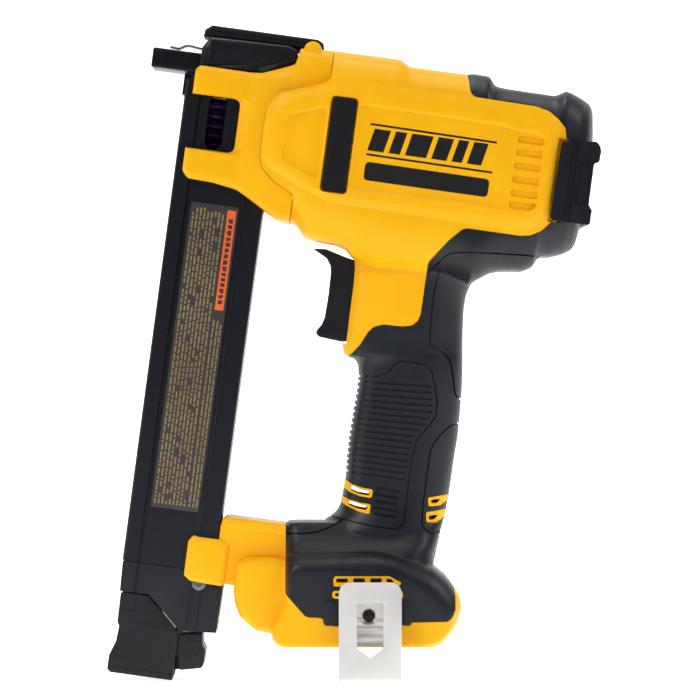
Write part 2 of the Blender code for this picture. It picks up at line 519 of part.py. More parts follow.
for name, side in (("bearing_left", -1), ("bearing_right", 1)):
    piece(name, rod((wu, side * 20, ww), 6.0, 3.8, frame=LEAN, sides=16, bore=2.3), STEEL, 0.3, 1.0, (wu, side * 20, ww), LEAN)

# pinch arm on its own pin: a roller in front, a tail that the solenoid pulls
arm_pin, roller_at = (24, 279), (-18, 284.6)
arm = None
for side in (-1, 1):
    y0, y1 = sorted((side * 13, side * 15.5))
    cheek = plate([(-20.5, 282.4), (-20.5, 286.4), (-16, 287.2), (-10, 285.2), (20, 283.2), (26.5, 281.5), (28, 276), (26, 263.6),
                   (21.5, 263.6), (20.5, 276), (16, 279.6), (-10, 282.3), (-16, 282)], y0, y1, LEAN)
    arm = cheek if arm is None else join(arm, cheek)
arm = join(arm, box(22.2, 25.4, -14, 14, 264.2, 267.2, LEAN), box(0, 8, -14, 14, 282.6, 283.4, LEAN))
arm = cut(arm, rod((24, 0, 276.5), 1.6, 60, frame=LEAN, sides=10), rod((-18, 0, 284.6), 1.3, 60, frame=LEAN, sides=14))
piece("pinch_arm", arm, STEEL, 0.4, 1.0, (24, 0, 276.5), LEAN)
piece("arm_pin", rod((24, 0, 276.5), 1.5, 43, frame=LEAN, sides=10), STEEL, 0.3, 1.0, (24, 0, 276.5), LEAN)
piece("pinch_roller", join(rod((-18, 0, 284.6), 3.3, 24, frame=LEAN, sides=14), rod((-18, 0, 284.6), 1.2, 31, frame=LEAN, sides=14)),
      STEEL, 0.3, 1.0, (-18, 0, 284.6), LEAN)
solenoid = rod((47, 0, 246), 9, 24, "X", 16, LEAN)
solenoid = cut(join(solenoid, box(36, 38.5, -11, 11, 235, 258, LEAN)), rod((40, 0, 246), 3.4, 26, "X", 12, LEAN))
piece("arm_solenoid", solenoid, (0.2, 0.2, 0.21), 0.5, 0.6)
plunger = join(rod((38, 0, 246), 3.0, 22, "X", 12, LEAN), box(26.3, 30.2, -3, 3, 246, 267, LEAN))
piece("solenoid_plunger", plunger, BRIGHT, 0.3, 1.0, (39, 0, 246), LEAN)
piece("arm_spring", coil((26.6, 8, 265.8), 1.5, 0.35, 7, 4, "X", LEAN, 6, 1), STEEL, 0.35, 1.0, (34, 8, 265.8), LEAN)
piece("return_spring", coil((14.9, 0, 275.8), 2.2, 0.35, 6.6, 6, "X", LEAN, 6, 1), STEEL, 0.35, 1.0, (22, 0, 275.8), LEAN)

# -- trigger and electrics
TRIGGER = [(-23.6, 199.0), (-21.3, 197.4), (-16.7, 194.2), (-14.8, 190.4), (-14.6, 186.7), (-15.8, 175.8), (-17.7, 164.2),
           (-19.2, 160.8), (-21.7, 157.9), (-22.1, 156.2), (-20.4, 154.6), (-9.3, 152.2), (-2, 152.6), (-0.8, 160), (0.5, 185),
           (0.5, 192), (-7, 194.5), (-17, 198.6)]
piece("trigger", plate(TRIGGER, -8, 8, LEVEL, 1.6, 2), BLACK, 0.5, 0.0, (-8, 0, 175))
piece("trigger_switch", soften(box(11, 31, -9, 9, 157, 184), 1.0, 1), (0.05, 0.05, 0.055), 0.5)
piece("trigger_spring", coil((1.2, 0, 172), 3.0, 0.4, 9.2, 5, "X", LEVEL, 7, 1), STEEL, 0.35, 1.0, (10.8, 0, 172))
board = join(box(-27, 29, -24, 24, 24, 25.6), box(-8, 12, -10, 10, 25, 32), box(16, 26, -16, 4, 25, 30))
piece("control_board", board, BOARD, 0.5)
terminal = join(box(-15, 24, -17, 17, 0, 13.9), box(-15.4, -9, -20, 20, 1.2, 13.4))
piece("terminal_block", soften(terminal, 0.6, 1), (0.04, 0.04, 0.045), 0.5)
for name, y, colour in (("power_wire_left", -5.5, (0.5, 0.02, 0.02)), ("power_wire_right", 5.5, (0.02, 0.02, 0.02))):
    piece(name, tube([(2, y, 33.5), (3, y, 45), (12, y, 62), (18, y, 90), (21, y, 120), (21, y, 155.5)], 1.3, LEVEL, 1), colour, 0.6)

# -- belt hook
hook = plate([(-10.5, -15.5), (20.4, -15.5), (20.4, 26), (18.6, 30.3), (14.4, 32), (-4.5, 32), (-8.7, 30.3), (-10.5, 26)],
             -51.2, -49.6, LEVEL)
hook = cut(hook, plate([(-1.6, 21.7), (-1.6, -1), (5, -6), (11.4, -1), (11.4, 21.7)], -60, -40, LEVEL))
hook = join(hook, box(-10.5, 20.4, -51.2, -37.5, -15.5, -13.9), box(-9.5, 19.4, -39.1, -37.5, -15.5, 21.6))
hook = cut(hook, rod((4.3, -38, 16.8), 1.7, 8, sides=12))
piece("belt_hook", hook, BRIGHT, 0.22, 1.0)
screw = turned([(0, 2.0), (2.4, 2.0), (3.1, 1.2), (3.1, 0), (1.4, 0), (1.4, -7), (0, -7)], (0, 0, 0), "Z", 14)
screw.transform(Matrix.Translation((4.3, -39.5, 16.8)) @ Matrix.Rotation(math.pi / 2, 4, "X"))
piece("hook_screw", screw, (0.02, 0.02, 0.02), 0.4, 0.8, (4.3, -39.5, 16.8))

# -- stored cable guide
GUIDE = [(65.8, 262.1), (64.9, 224.6), (66, 223), (84.2, 222.8), (85, 230), (83, 232.9), (83, 253.3), (85.4, 254.6),
         (85.7, 260), (84.2, 263.3), (82.5, 264.3)]
guide = None
for side in (-1, 1):
    y0, y1 = sorted((side * 34.5, side * 36.8))
    cheek = plate(GUIDE, y0, y1, LEAN)
    guide = cheek if guide is None else join(guide, cheek)
guide = join(guide, box(83.2, 84.9, -35.5, 35.5, 223.4, 231, LEAN), box(83.2, 85.2, -35.5, 35.5, 255, 262.5, LEAN))
piece("cable_guide", guide, BLACK, 0.5, 0.0, (84, 0, 243), LEAN)

# -- housing screws
for name, (a, b), seat, _, frame in SCREWS:
    screw = turned([(0, 2.2), (2.5, 2.2), (3.1, 1.4), (3.1, 0.3), (1.4, 0.3), (1.4, -seat - 8), (0, -seat - 8)],
                   (0, 0, 0), "Z", 10)
    screw.transform(frame @ Matrix.Translation((a, seat, b)) @ Matrix.Rotation(-math.pi / 2, 4, "X"))
    piece(name, screw, STEEL, 0.35, 1.0, (a, seat, b), frame)
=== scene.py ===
import math
import random
import bpy
import bmesh
from mathutils import Matrix, Vector


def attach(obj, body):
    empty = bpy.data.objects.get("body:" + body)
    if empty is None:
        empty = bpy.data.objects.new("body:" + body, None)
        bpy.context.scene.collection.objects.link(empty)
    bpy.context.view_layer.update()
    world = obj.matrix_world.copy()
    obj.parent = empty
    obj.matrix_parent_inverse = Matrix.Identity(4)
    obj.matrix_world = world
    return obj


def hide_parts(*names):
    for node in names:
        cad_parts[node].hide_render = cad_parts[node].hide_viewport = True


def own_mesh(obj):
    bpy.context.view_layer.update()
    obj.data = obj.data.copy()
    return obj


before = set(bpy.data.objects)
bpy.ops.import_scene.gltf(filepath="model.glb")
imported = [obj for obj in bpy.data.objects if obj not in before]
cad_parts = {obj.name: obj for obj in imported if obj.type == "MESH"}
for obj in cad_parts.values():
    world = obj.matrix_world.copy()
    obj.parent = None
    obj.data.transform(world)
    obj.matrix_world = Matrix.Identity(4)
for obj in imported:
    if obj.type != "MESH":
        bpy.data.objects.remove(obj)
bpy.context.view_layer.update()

# Lengths are in millimetres; the leaning frame (u to the rear, w up) stands TILT degrees about +Y from upright.
TILT = 7.6
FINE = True
LEAN = Matrix.Rotation(math.radians(TILT), 4, "Y")
LEVEL = Matrix.Identity(4)
CT, ST = math.cos(math.radians(TILT)), math.sin(math.radians(TILT))
scene = bpy.context.scene


def lean_point(x, z):
    return (x * CT - z * ST, x * ST + z * CT)


# ------------------------------------------------------------------ materials
def nodes_of(name):
    material = bpy.data.materials.new(name)
    material.use_nodes = True
    tree = material.node_tree
    return material, tree, tree.nodes["Principled BSDF"]


def mapped(tree, scale=(1, 1, 1), rotation=(0, 0, 0)):
    where = tree.nodes.new("ShaderNodeTexCoord")
    mapping = tree.nodes.new("ShaderNodeMapping")
    mapping.inputs["Scale"].default_value = scale
    mapping.inputs["Rotation"].default_value = rotation
    tree.links.new(where.outputs["Object"], mapping.inputs["Vector"])
    return mapping.outputs["Vector"]


def noise_of(tree, vector, scale, detail=3.0, rough=0.5):
    node = tree.nodes.new("ShaderNodeTexNoise")
    node.inputs["Scale"].default_value = scale
    node.inputs["Detail"].default_value = detail
    node.inputs["Roughness"].default_value = rough
    tree.links.new(vector, node.inputs["Vector"])
    return node.outputs["Fac"]


def ramp(tree, value, stops):
    node = tree.nodes.new("ShaderNodeValToRGB")
    while len(node.color_ramp.elements) < len(stops):
        node.color_ramp.elements.new(0.5)
    for element, (at, colour) in zip(node.color_ramp.elements, stops):
        element.position = at
        element.color = (*colour, 1) if len(colour) == 3 else colour
    tree.links.new(value, node.inputs["Fac"])
    return node.outputs["Color"]


def bump(tree, shader, heights):
    """Stacks (height, strength, distance) bumps onto the shader."""
    last = None
    for height, strength, distance in heights:
        node = tree.nodes.new("ShaderNodeBump")
        node.inputs["Strength"].default_value = strength
        node.inputs["Distance"].default_value = distance
        tree.links.new(height, node.inputs["Height"])
        if last is not None:
            tree.links.new(last, node.inputs["Normal"])
        last = node.outputs["Normal"]
    tree.links.new(last, shader.inputs["Normal"])


def moulded(name, colour, rough, spread=0.06, grain=2600, depth=0.12, shade=0.08, wear=None, coat=0.0, specular=0.5):
    """Moulded plastic or rubber: slow colour drift, fine spark-eroded grain, slight handling marks."""
    material, tree, shader = nodes_of(name)
    vector = mapped(tree)
    slow = noise_of(tree, vector, 38, 4, 0.6)
    fine = noise_of(tree, vector, grain, 2, 0.6)
    dark = tuple(c * (1 - shade) for c in colour)
    light = tuple(min(1, c * (1 + shade)) for c in colour)
    base = ramp(tree, slow, [(0.3, dark), (0.7, light)])
    if wear:
        marks = noise_of(tree, mapped(tree, (1, 1, 0.25), (0.3, 0.2, 0.5)), 420, 6, 0.75)
        mask = ramp(tree, marks, [(0.66, (0, 0, 0)), (0.76, (1, 1, 1))])
        mix = tree.nodes.new("ShaderNodeMix")
        mix.data_type = "RGBA"
        tree.links.new(mask, mix.inputs[0])
        tree.links.new(base, mix.inputs[6])
        mix.inputs[7].default_value = (*wear, 1)
        base = mix.outputs[2]
    tree.links.new(base, shader.inputs["Base Color"])
    gloss = ramp(tree, noise_of(tree, vector, 240, 5, 0.6),
                 [(0.25, (rough - spread,) * 3), (0.75, (rough + spread,) * 3)])
    tree.links.new(gloss, shader.inputs["Roughness"])
    shader.inputs["Specular IOR Level"].default_value = specular
    shader.inputs["Coat Weight"].default_value = coat
    shader.inputs["Coat Roughness"].default_value = 0.25
    bump(tree, shader, [(fine, depth, 0.00012), (noise_of(tree, vector, 120, 3, 0.5), depth * 0.6, 0.0002)])
    return material


def metal(name, colour, rough, streak=(60, 60, 4), spread=0.08, depth=0.1, metallic=1.0, drift=0.1, grain=1500):
    """Metal with drawn or ground streaks along one axis, and smudged roughness."""
    material, tree, shader = nodes_of(name)
    vector = mapped(tree, streak, (0, math.radians(TILT), 0))
    lines = noise_of(tree, vector, 28, 5, 0.7)
    slow = noise_of(tree, mapped(tree), 60, 4, 0.6)
    dark = tuple(c * (1 - drift) for c in colour)
    light = tuple(min(1, c * (1 + drift)) for c in colour)
    tree.links.new(ramp(tree, slow, [(0.3, dark), (0.7, light)]), shader.inputs["Base Color"])
    shader.inputs["Metallic"].default_value = metallic
    gloss = ramp(tree, lines, [(0.2, (max(0.05, rough - spread),) * 3), (0.8, (rough + spread,) * 3)])
    tree.links.new(gloss, shader.inputs["Roughness"])
    bump(tree, shader, [(lines, depth, 0.00006), (noise_of(tree, mapped(tree), grain, 2, 0.5), depth * 0.7, 0.00005)])
    return material


YELLOW = moulded("yellow_nylon", (0.97, 0.485, 0.005), 0.42, 0.05, 1900, 0.10, 0.03, None, 0.0, 0.18)
# Darker, deeper copy of the yellow nylon, painted shade meant for inside faces; no piece uses it.
YELLOW_PAINTED_SHADE = moulded("yellow_nylon_inner_painted_shade", (0.85, 0.36, 0.004), 0.45, 0.05, 1900, 0.10, 0.05)
SOFT_BLACK = moulded("black_overmould", (0.0058, 0.0068, 0.0128), 0.43, 0.06, 1500, 0.34, 0.12, (0.012, 0.0135, 0.021), 0.0, 0.4)
RIB_BLACK = moulded("black_ribbed_grip", (0.0058, 0.0068, 0.0128), 0.42, 0.06, 2600, 0.2, 0.10, None, 0.0, 0.42)
HARD_BLACK = moulded("black_nylon", (0.0052, 0.0058, 0.0100), 0.40, 0.06, 2200, 0.2, 0.1, (0.012, 0.0125, 0.017), 0.0, 0.36)
RUBBER = moulded("bumper_rubber", (0.0045, 0.0045, 0.0062), 0.55, 0.06, 1300, 0.32, 0.12, None, 0.0, 0.24)
# Near-black used for the black power wire, and as painted shade on the sheets set behind the vent openings.
SHADE_AND_WIRE_BLACK = moulded("painted_shade_and_wire_black", (0.006, 0.006, 0.007), 0.7, 0.05, 1500, 0.1, 0.1)
PRINT_BLACK = moulded("printed_black", (0.006, 0.0055, 0.006), 0.38, 0.04, 2200, 0.06, 0.05)
ANODISED = metal("black_anodised", (0.0055, 0.0062, 0.0125), 0.36, (70, 70, 3), 0.06, 0.14, 0.35, 0.12)
CAST = metal("black_cast", (0.0065, 0.0075, 0.0135), 0.44, (10, 10, 10), 0.08, 0.3, 0.25, 0.15, 900)
NOSE = metal("nose_black_oxide", (0.014, 0.015, 0.020), 0.36, (4, 60, 60), 0.08, 0.2, 0.75, 0.2)
PLATED = metal("satin_plate", (0.68, 0.67, 0.66), 0.46, (60, 60, 8), 0.06, 0.12, 0.55, 0.05)
STEEL = metal("ground_steel", (0.42, 0.42, 0.43), 0.32, (50, 50, 5), 0.08, 0.14)
DARK_STEEL = metal("dark_steel", (0.16, 0.16, 0.17), 0.34, (20, 20, 20), 0.08, 0.14, 0.9)
BRIGHT = metal("bright_steel", (0.75, 0.74, 0.72), 0.2, (50, 50, 4), 0.06, 0.08)
BLACK_OXIDE = metal("black_oxide", (0.025, 0.025, 0.028), 0.32, (20, 20, 20), 0.08, 0.2, 0.85)
VIOLET = moulded("violet_spring_wire", (0.055, 0.014, 0.16), 0.34, 0.05, 1200, 0.1, 0.15)
ALUMINIUM = metal("cast_aluminium", (0.56, 0.57, 0.58), 0.42, (10, 10, 10), 0.1, 0.35, 0.95, 0.1, 800)
COPPER = metal("enamelled_copper", (0.62, 0.22, 0.07), 0.35, (6, 200, 6), 0.1, 0.3, 0.8, 0.2)
BOARD = moulded("board_green", (0.015, 0.13, 0.05), 0.35, 0.08, 900, 0.3, 0.2)
WIRE_RED = moulded("wire_red", (0.48, 0.02, 0.015), 0.45, 0.05, 900, 0.1, 0.1)
LABEL = moulded("label_film", (0.040, 0.036, 0.038), 0.34, 0.05, 700, 0.05, 0.08)
LABEL_INK = moulded("label_gold_ink", (0.25, 0.18, 0.065), 0.42, 0.05, 900, 0.05, 0.12)
LABEL_ORANGE = moulded("label_orange_ink", (0.80, 0.13, 0.02), 0.4, 0.05, 900, 0.05, 0.08)
LABEL_GREY = moulded("label_grey_ink", (0.19, 0.17, 0.155), 0.42, 0.05, 900, 0.05, 0.08)


# ------------------------------------------------------------------ shapes, as meshes in upright millimetres
def finish(bm, place, name="shape"):
    bmesh.ops.remove_doubles(bm, verts=bm.verts, dist=0.0001)
    bmesh.ops.recalc_face_normals(bm, faces=bm.faces)
    bm.transform(place)
    mesh = bpy.data.meshes.new(name)
    bm.to_mesh(mesh)
    bm.free()
    return mesh


def evaluated(data, *steps):
    obj = bpy.data.objects.new("work", data)
    scene.collection.objects.link(obj)
    for kind, settings in steps:
        modifier = obj.modifiers.new(kind.lower(), kind)
        for key, value in settings.items():
            setattr(modifier, key, value)
    bpy.context.view_layer.update()
    graph = bpy.context.evaluated_depsgraph_get()
    made = bpy.data.meshes.new_from_object(obj.evaluated_get(graph))
    bpy.data.objects.remove(obj, do_unlink=True)
    return made


def combine(first, second, operation, solver="EXACT"):
    other = bpy.data.objects.new("other", second)
    scene.collection.objects.link(other)
    made = evaluated(first, ("BOOLEAN", dict(operation=operation, solver=solver, object=other)))
    same = len(made.vertices) == len(first.vertices) and len(made.polygons) == len(first.polygons)
    if solver != "EXACT" and (same or not made.polygons):
        made = evaluated(first, ("BOOLEAN", dict(operation=operation, solver="EXACT", object=other)))
    bpy.data.objects.remove(other, do_unlink=True)
    return made


def cut(mesh, *tools, solver="EXACT"):
    for tool in tools:
        mesh = combine(mesh, tool, "DIFFERENCE", solver)
    return mesh


def join(mesh, *others, solver="EXACT"):
    for other in others:
        mesh = combine(mesh, other, "UNION", solver)
    return mesh


def keep(mesh, tool, solver="EXACT"):
    return combine(mesh, tool, "INTERSECT", solver)


def soften(mesh, width, segments=3, angle=32):
    return evaluated(mesh, ("BEVEL", dict(width=width, segments=segments, limit_method="ANGLE",
                                          angle_limit=math.radians(angle), use_clamp_overlap=True)))


def together(*meshes):
    bm = bmesh.new()
    for mesh in meshes:
        bm.from_mesh(mesh)
    made = bpy.data.meshes.new("together")
    bm.to_mesh(made)
    bm.free()
    return made


def box(x0, x1, y0, y1, z0, z1, place=LEVEL):
    bm = bmesh.new()
    bmesh.ops.create_cube(bm, size=1.0)
    for v in bm.verts:
        v.co = Vector((x0 + (v.co.x + 0.5) * (x1 - x0), y0 + (v.co.y + 0.5) * (y1 - y0),
                       z0 + (v.co.z + 0.5) * (z1 - z0)))
    return finish(bm, place)


def rounded(points, radius, steps=5):
    """Outline with its corners rounded where there is room."""
    out = []
    count = len(points)
    for i in range(count):
        p, a, b = Vector(points[i]), Vector(points[i - 1]), Vector(points[(i + 1) % count])
        da, db = a - p, b - p
        angle = da.angle(db) if da.length > 1e-6 and db.length > 1e-6 else math.pi
        if angle > math.radians(172):
            out.append(tuple(p))
            continue
        reach = min(radius / max(math.tan(angle / 2), 0.05), da.length * 0.49, db.length * 0.49)
        s, e = p + da.normalized() * reach, p + db.normalized() * reach
        for k in range(steps + 1):
            t = k / steps
            out.append(tuple(s * (1 - t) ** 2 + p * 2 * t * (1 - t) + e * t ** 2))
    return out


def outline_solid(points, depth, cutouts=()):
    curve = bpy.data.curves.new("outline", "CURVE")
    curve.dimensions = "2D"
    curve.fill_mode = "BOTH"
    curve.extrude = depth / 2
    for ring in (points, *cutouts):
        spline = curve.splines.new("POLY")
        spline.points.add(len(ring) - 1)
        for point, (a, b) in zip(spline.points, ring):
            point.co = (a, b, 0, 1)
        spline.use_cyclic_u = True
    bm = bmesh.new()
    bm.from_mesh(evaluated(curve))
    bmesh.ops.remove_doubles(bm, verts=bm.verts, dist=0.0001)
    return bm


def plate(points, y0, y1, place=LEVEL, round_by=0.0, segments=3, cutouts=()):
    """Outline in the x-z plane with thickness along y."""
    bm = outline_solid(points, y1 - y0, cutouts)
    bm.transform(Matrix.Translation((0, (y0 + y1) / 2, 0)) @ Matrix.Rotation(math.pi / 2, 4, "X"))
    if not cutouts:
        bmesh.ops.dissolve_limit(bm, angle_limit=0.0005, verts=bm.verts, edges=bm.edges)
    bmesh.ops.recalc_face_normals(bm, faces=bm.faces)
    if round_by:
        rim = [e for e in bm.edges if abs(e.verts[0].co.y - e.verts[1].co.y) < 1e-4
               and len(e.link_faces) == 2 and abs(e.link_faces[0].normal.dot(e.link_faces[1].normal)) < 0.9]
        bmesh.ops.bevel(bm, geom=rim, offset=round_by, offset_type="OFFSET", segments=segments, profile=0.5,
                        affect="EDGES", clamp_overlap=True)
    return finish(bm, place)


def post(points, z0, z1, place=LEVEL):
    """Outline in the x-y plane with height along z."""
    bm = outline_solid(points, z1 - z0)
    bm.transform(Matrix.Translation((0, 0, (z0 + z1) / 2)))
    bmesh.ops.dissolve_limit(bm, angle_limit=0.0005, verts=bm.verts, edges=bm.edges)
    return finish(bm, place)


TURN = {"Y": Matrix.Rotation(-math.pi / 2, 4, "X"), "X": Matrix.Rotation(math.pi / 2, 4, "Y"), "Z": LEVEL}


def rod(centre, radius, length, axis="Y", sides=32, place=LEVEL, bore=0.0, tip=None):
    seat = place @ Matrix.Translation(centre) @ TURN[axis]
    bm = bmesh.new()
    bmesh.ops.create_cone(bm, cap_ends=True, segments=sides, radius1=radius, radius2=radius if tip is None else tip,
                          depth=length)
    mesh = finish(bm, seat)
    if bore:
        bm = bmesh.new()
        bmesh.ops.create_cone(bm, cap_ends=True, segments=sides, radius1=bore, radius2=bore, depth=length + 4)
        mesh = cut(mesh, finish(bm, seat))
    return mesh


def turned(profile, centre=(0, 0, 0), axis="Y", sides=48, place=LEVEL):
    bm = bmesh.new()
    verts = [bm.verts.new((r, 0, h)) for r, h in profile]
    for a, b in zip(verts, verts[1:]):
        bm.edges.new((a, b))
    if profile[0][0] > 0.001:
        bm.edges.new((verts[-1], verts[0]))
    raw = bpy.data.meshes.new("profile")
    bm.to_mesh(raw)
    bm.free()
    made = evaluated(raw, ("SCREW", dict(steps=sides, render_steps=sides, use_merge_vertices=True,
                                         merge_threshold=0.0001, use_normal_calculate=True)))
    bm = bmesh.new()
    bm.from_mesh(made)
    return finish(bm, place @ Matrix.Translation(centre) @ TURN[axis])


def tube(points, radius, place=LEVEL, resolution=3, cyclic=False):
    curve = bpy.data.curves.new("path", "CURVE")
    curve.dimensions = "3D"
    curve.bevel_depth = radius
    curve.bevel_resolution = resolution
    curve.use_fill_caps = True
    spline = curve.splines.new("POLY")
    spline.points.add(len(points) - 1)
    for point, co in zip(spline.points, points):
        point.co = (*co, 1)
    spline.use_cyclic_u = cyclic
    bm = bmesh.new()
    bm.from_mesh(evaluated(curve))
    return finish(bm, place)


def coil(centre, radius, wire, length, turns, axis, place=LEVEL, per_turn=28, resolution=3, level=False):
    """Helix from the centre point along the axis; level keeps the pitch to the far half of each turn."""
    steps = int(turns * per_turn)
    points = []
    for i in range(steps + 1):
        a = 2 * math.pi * turns * i / steps
        turn, part = divmod(turns * i / steps, 1)
        along = length / turns * (turn + min(part * 2, 1)) if level else length * i / steps
        along = min(along, length)
        c, s = radius * math.cos(a), radius * math.sin(a)
        offset = {"X": (along, c, s), "Z": (c, s, along)}[axis]
        points.append(tuple(p + o for p, o in zip(centre, offset)))
    return tube(points, wire, place, resolution)


def loft(rings, place=LEVEL):
    bm = bmesh.new()
    rows = [[bm.verts.new(p) for p in ring] for ring in rings]
    count = len(rows[0])
    for a, b in zip(rows, rows[1:]):
        for i in range(count):
            j = (i + 1) % count
            bm.faces.new((a[i], a[j], b[j], b[i]))
    bm.faces.new(rows[0][::-1])
    bm.faces.new(rows[-1])
    return finish(bm, place)


def between(rows, at):
    for low, high in zip(rows, rows[1:]):
        if low[0] <= at <= high[0]:
            share = (at - low[0]) / (high[0] - low[0])
            return [a + (b - a) * share for a, b in zip(low, high)]
    return list(rows[0] if at < rows[0][0] else rows[-1])


def grown(points, by):
    area = sum(a[0] * b[1] - b[0] * a[1] for a, b in zip(points, points[1:] + points[:1]))
    sign = 1 if area > 0 else -1
    out = []
    for i, p in enumerate(points):
        a, b = Vector(points[i - 1]), Vector(points[(i + 1) % len(points)])
        d0, d1 = (Vector(p) - a).normalized(), (b - Vector(p)).normalized()
        n = Vector((d0.y + d1.y, -d0.x - d1.x)).normalized() * sign
        n0 = Vector((d0.y, -d0.x)) * sign
        out.append(tuple(Vector(p) + n * by / max(0.5, n.dot(n0))))
    return out


def smooth_line(points, steps=6):
    """Open line through the points, rounded between them."""
    out = []
    pts = [Vector(p) for p in points]
    for i in range(len(pts) - 1):
        p0, p1, p2, p3 = pts[max(i - 1, 0)], pts[i], pts[i + 1], pts[min(i + 2, len(pts) - 1)]
        for k in range(steps):
            t = k / steps
            out.append(tuple(0.5 * ((2 * p1) + (p2 - p0) * t + (2 * p0 - 5 * p1 + 4 * p2 - p3) * t * t
                                    + (3 * p1 - p0 - 3 * p2 + p3) * t ** 3)))
    out.append(tuple(pts[-1]))
    return out


def ribbon(points, width):
    """Closed outline of a line with a width."""
    left, right = [], []
    for i, p in enumerate(points):
        a, b = Vector(points[max(i - 1, 0)]), Vector(points[min(i + 1, len(points) - 1)])
        d = (b - a).normalized()
        n = Vector((-d.y, d.x)) * width / 2
        left.append(tuple(Vector(p) + n))
        right.append(tuple(Vector(p) - n))
    return left + right[::-1]


def stadium(u, w0, w1, radius, steps=12):
    points = [(u + radius * math.cos(t), w1 + radius * math.sin(t)) for t in
              (math.pi * i / steps for i in range(steps + 1))]
    return points + [(u - radius * math.cos(t), w0 - radius * math.sin(t)) for t in
                     (math.pi * i / steps for i in range(steps + 1))]


def show(name, mesh, material, body="tool", replaces=(), angle=34, edge=0.0, segments=2, limit=40):
    """Puts the shape in the scene as a finished piece, in metres, riding on a body."""
    bm = bmesh.new()
    bm.from_mesh(mesh)
    bmesh.ops.remove_doubles(bm, verts=bm.verts, dist=0.0004)
    bm.transform(Matrix.Scale(0.001, 4))
    made = bpy.data.meshes.new(name)
    bm.to_mesh(made)
    bm.free()
    made.shade_smooth()
    made.set_sharp_from_angle(angle=math.radians(angle))
    made.materials.clear()
    made.materials.append(material)
    obj = bpy.data.objects.new(name, made)
    scene.collection.objects.link(obj)
    if edge:
        modifier = obj.modifiers.new("edge", "BEVEL")
        modifier.width = edge * 0.001
        modifier.segments = segments
        modifier.limit_method = "ANGLE"
        modifier.angle_limit = math.radians(limit)
        modifier.harden_normals = False
        modifier.use_clamp_overlap = True
    if replaces:
        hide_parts(*replaces)
    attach(obj, body)
    return obj


# ------------------------------------------------------------------ outer skin
BODY = [(-84, 206, 292.6, 31), (-78, 206, 293, 33), (-70, 206, 293.2, 34), (-62.7, 206, 293.2, 34),
        (-59.2, 204.2, 293.2, 34), (-55, 199.2, 293.2, 34), (-50, 198, 293.2, 34), (-38.3, 197.3, 293.2, 34),
        (-33.3, 195.8, 293.2, 34), (-30.2, 192.5, 293.2, 34), (-18.5, 190, 293.2, 34), (-13.5, 190, 290.2, 34),
        (15.4, 190, 290.2, 34), (18.3, 190, 291, 34), (26.7, 188, 290.7, 34), (30, 186.5, 286.3, 34),
        (35, 190, 285.8, 34), (40, 193.7, 285.7, 34), (45, 195.2, 285.6, 34), (55.8, 196.5, 285.5, 34),
        (60, 198.8, 285.4, 34), (62.1, 203.5, 286.4, 33.8), (65.4, 205.1, 288.6, 33.4), (68.3, 205.4, 288, 32.8),
        (74.2, 207.5, 285.8, 31), (78.3, 210, 283.7, 28), (80.2, 213, 280.8, 25), (81.7, 222.5, 272.5, 21),
        (82.7, 232, 264.6, 17)]
GRIP = [(40, -22, 37, 24), (58, -20, 40.8, 22), (63.5, -16.9, 42.4, 20), (66.9, -11.9, 43.2, 19),
        (71.5, -9.6, 44, 18.5), (76.9, -8.6, 45, 18), (83.8, -7.3, 46, 17.8), (94.2, -6.7, 47.5, 17.7),
        (104.2, -5.6, 49.2, 17.7), (115.8, -3.8, 50.3, 17.8), (127.5, -1.7, 51.3, 17.9), (135.4, -0.7, 51.6, 18),
        (140.8, -1, 51.7, 18), (143.3, -2.5, 51.7, 18), (145.4, -7.9, 51.7, 18), (151.9, -9.2, 51.7, 18),
        (158.3, -8.2, 51.8, 18.3), (168.3, -6.9, 52.3, 18.7), (175, -5.9, 53.3, 19), (180.4, -5.2, 55.4, 19.2),
        (184.2, -4.9, 59.2, 19.5), (188.5, -4.6, 67, 20), (196, -4.8, 72, 21), (212, -2, 70, 22)]
FOOT = [(0, -38.5, 36, 34, 6, 14), (1.9, -42.7, 40, 35.5, 8, 16), (6.9, -44.4, 44, 36.5, 8, 18),
        (11.5, -43, 47.7, 37, 8, 20), (17.3, -40, 50, 37, 8, 20), (21.5, -37.5, 50.5, 37, 8, 20),
        (25.4, -37.5, 50, 37, 8, 20), (29.6, -37.5, 46.5, 37, 8, 19), (33.8, -37.5, 43.5, 37, 8, 18),
        (39.2, -37.5, 37, 37, 8, 16), (43.1, -37.5, 36.7, 37, 8, 16), (46, -37.5, 37, 36.3, 8, 16),
        (49, -37.5, 38, 33.5, 8, 15), (56.5, -37.5, 40.2, 24, 8, 14), (60.4, -37.5, 41.3, 19, 7, 12),
        (62.1, -36.3, 41.8, 15, 6, 10)]


def dense(rows, step):
    out = []
    for low, high in zip(rows, rows[1:]):
        count = max(1, int(round((high[0] - low[0]) / step)))
        out += [[a + (b - a) * k / count for a, b in zip(low, high)] for k in range(count)]
    return out + [list(rows[-1])]


def oblong(a0, a1, half, corners, steps):
    (p0, q0), (p1, q1) = corners
    ring = []
    for a, p, q, side, start in ((a1, p1, q1, 1, 0), (a0, p0, q0, 1, 90), (a0, p0, q0, -1, 180), (a1, p1, q1, -1, 270)):
        towards = -1 if a == a1 else 1
        for i in range(steps + 1):
            t = math.radians(start + 90 * i / steps)
            ring.append((a + towards * p + p * math.cos(t), side * (half - q) + q * math.sin(t)))
    return ring


def body_skin(inset=0.0, steps=12, first=-84.0):
    rings = []
    rows = [r for r in dense(BODY, 3) if first < r[0] < BODY[-1][0] - inset]
    rows = [between(BODY, first)] + rows + [between(BODY, BODY[-1][0] - inset)]
    for u, low, high, half in rows:
        low, high, half = low + inset, high - inset, half - inset
        top = min(20 - inset, (high - low) * 0.45)
        bottom = min(22 - inset, (high - low) * 0.45)
        across = min(18 - inset, half - 1)
        rings.append([(u, y, w) for w, y in oblong(low, high, half, ((bottom, across), (top, across)), steps)])
    return loft(rings, LEAN)


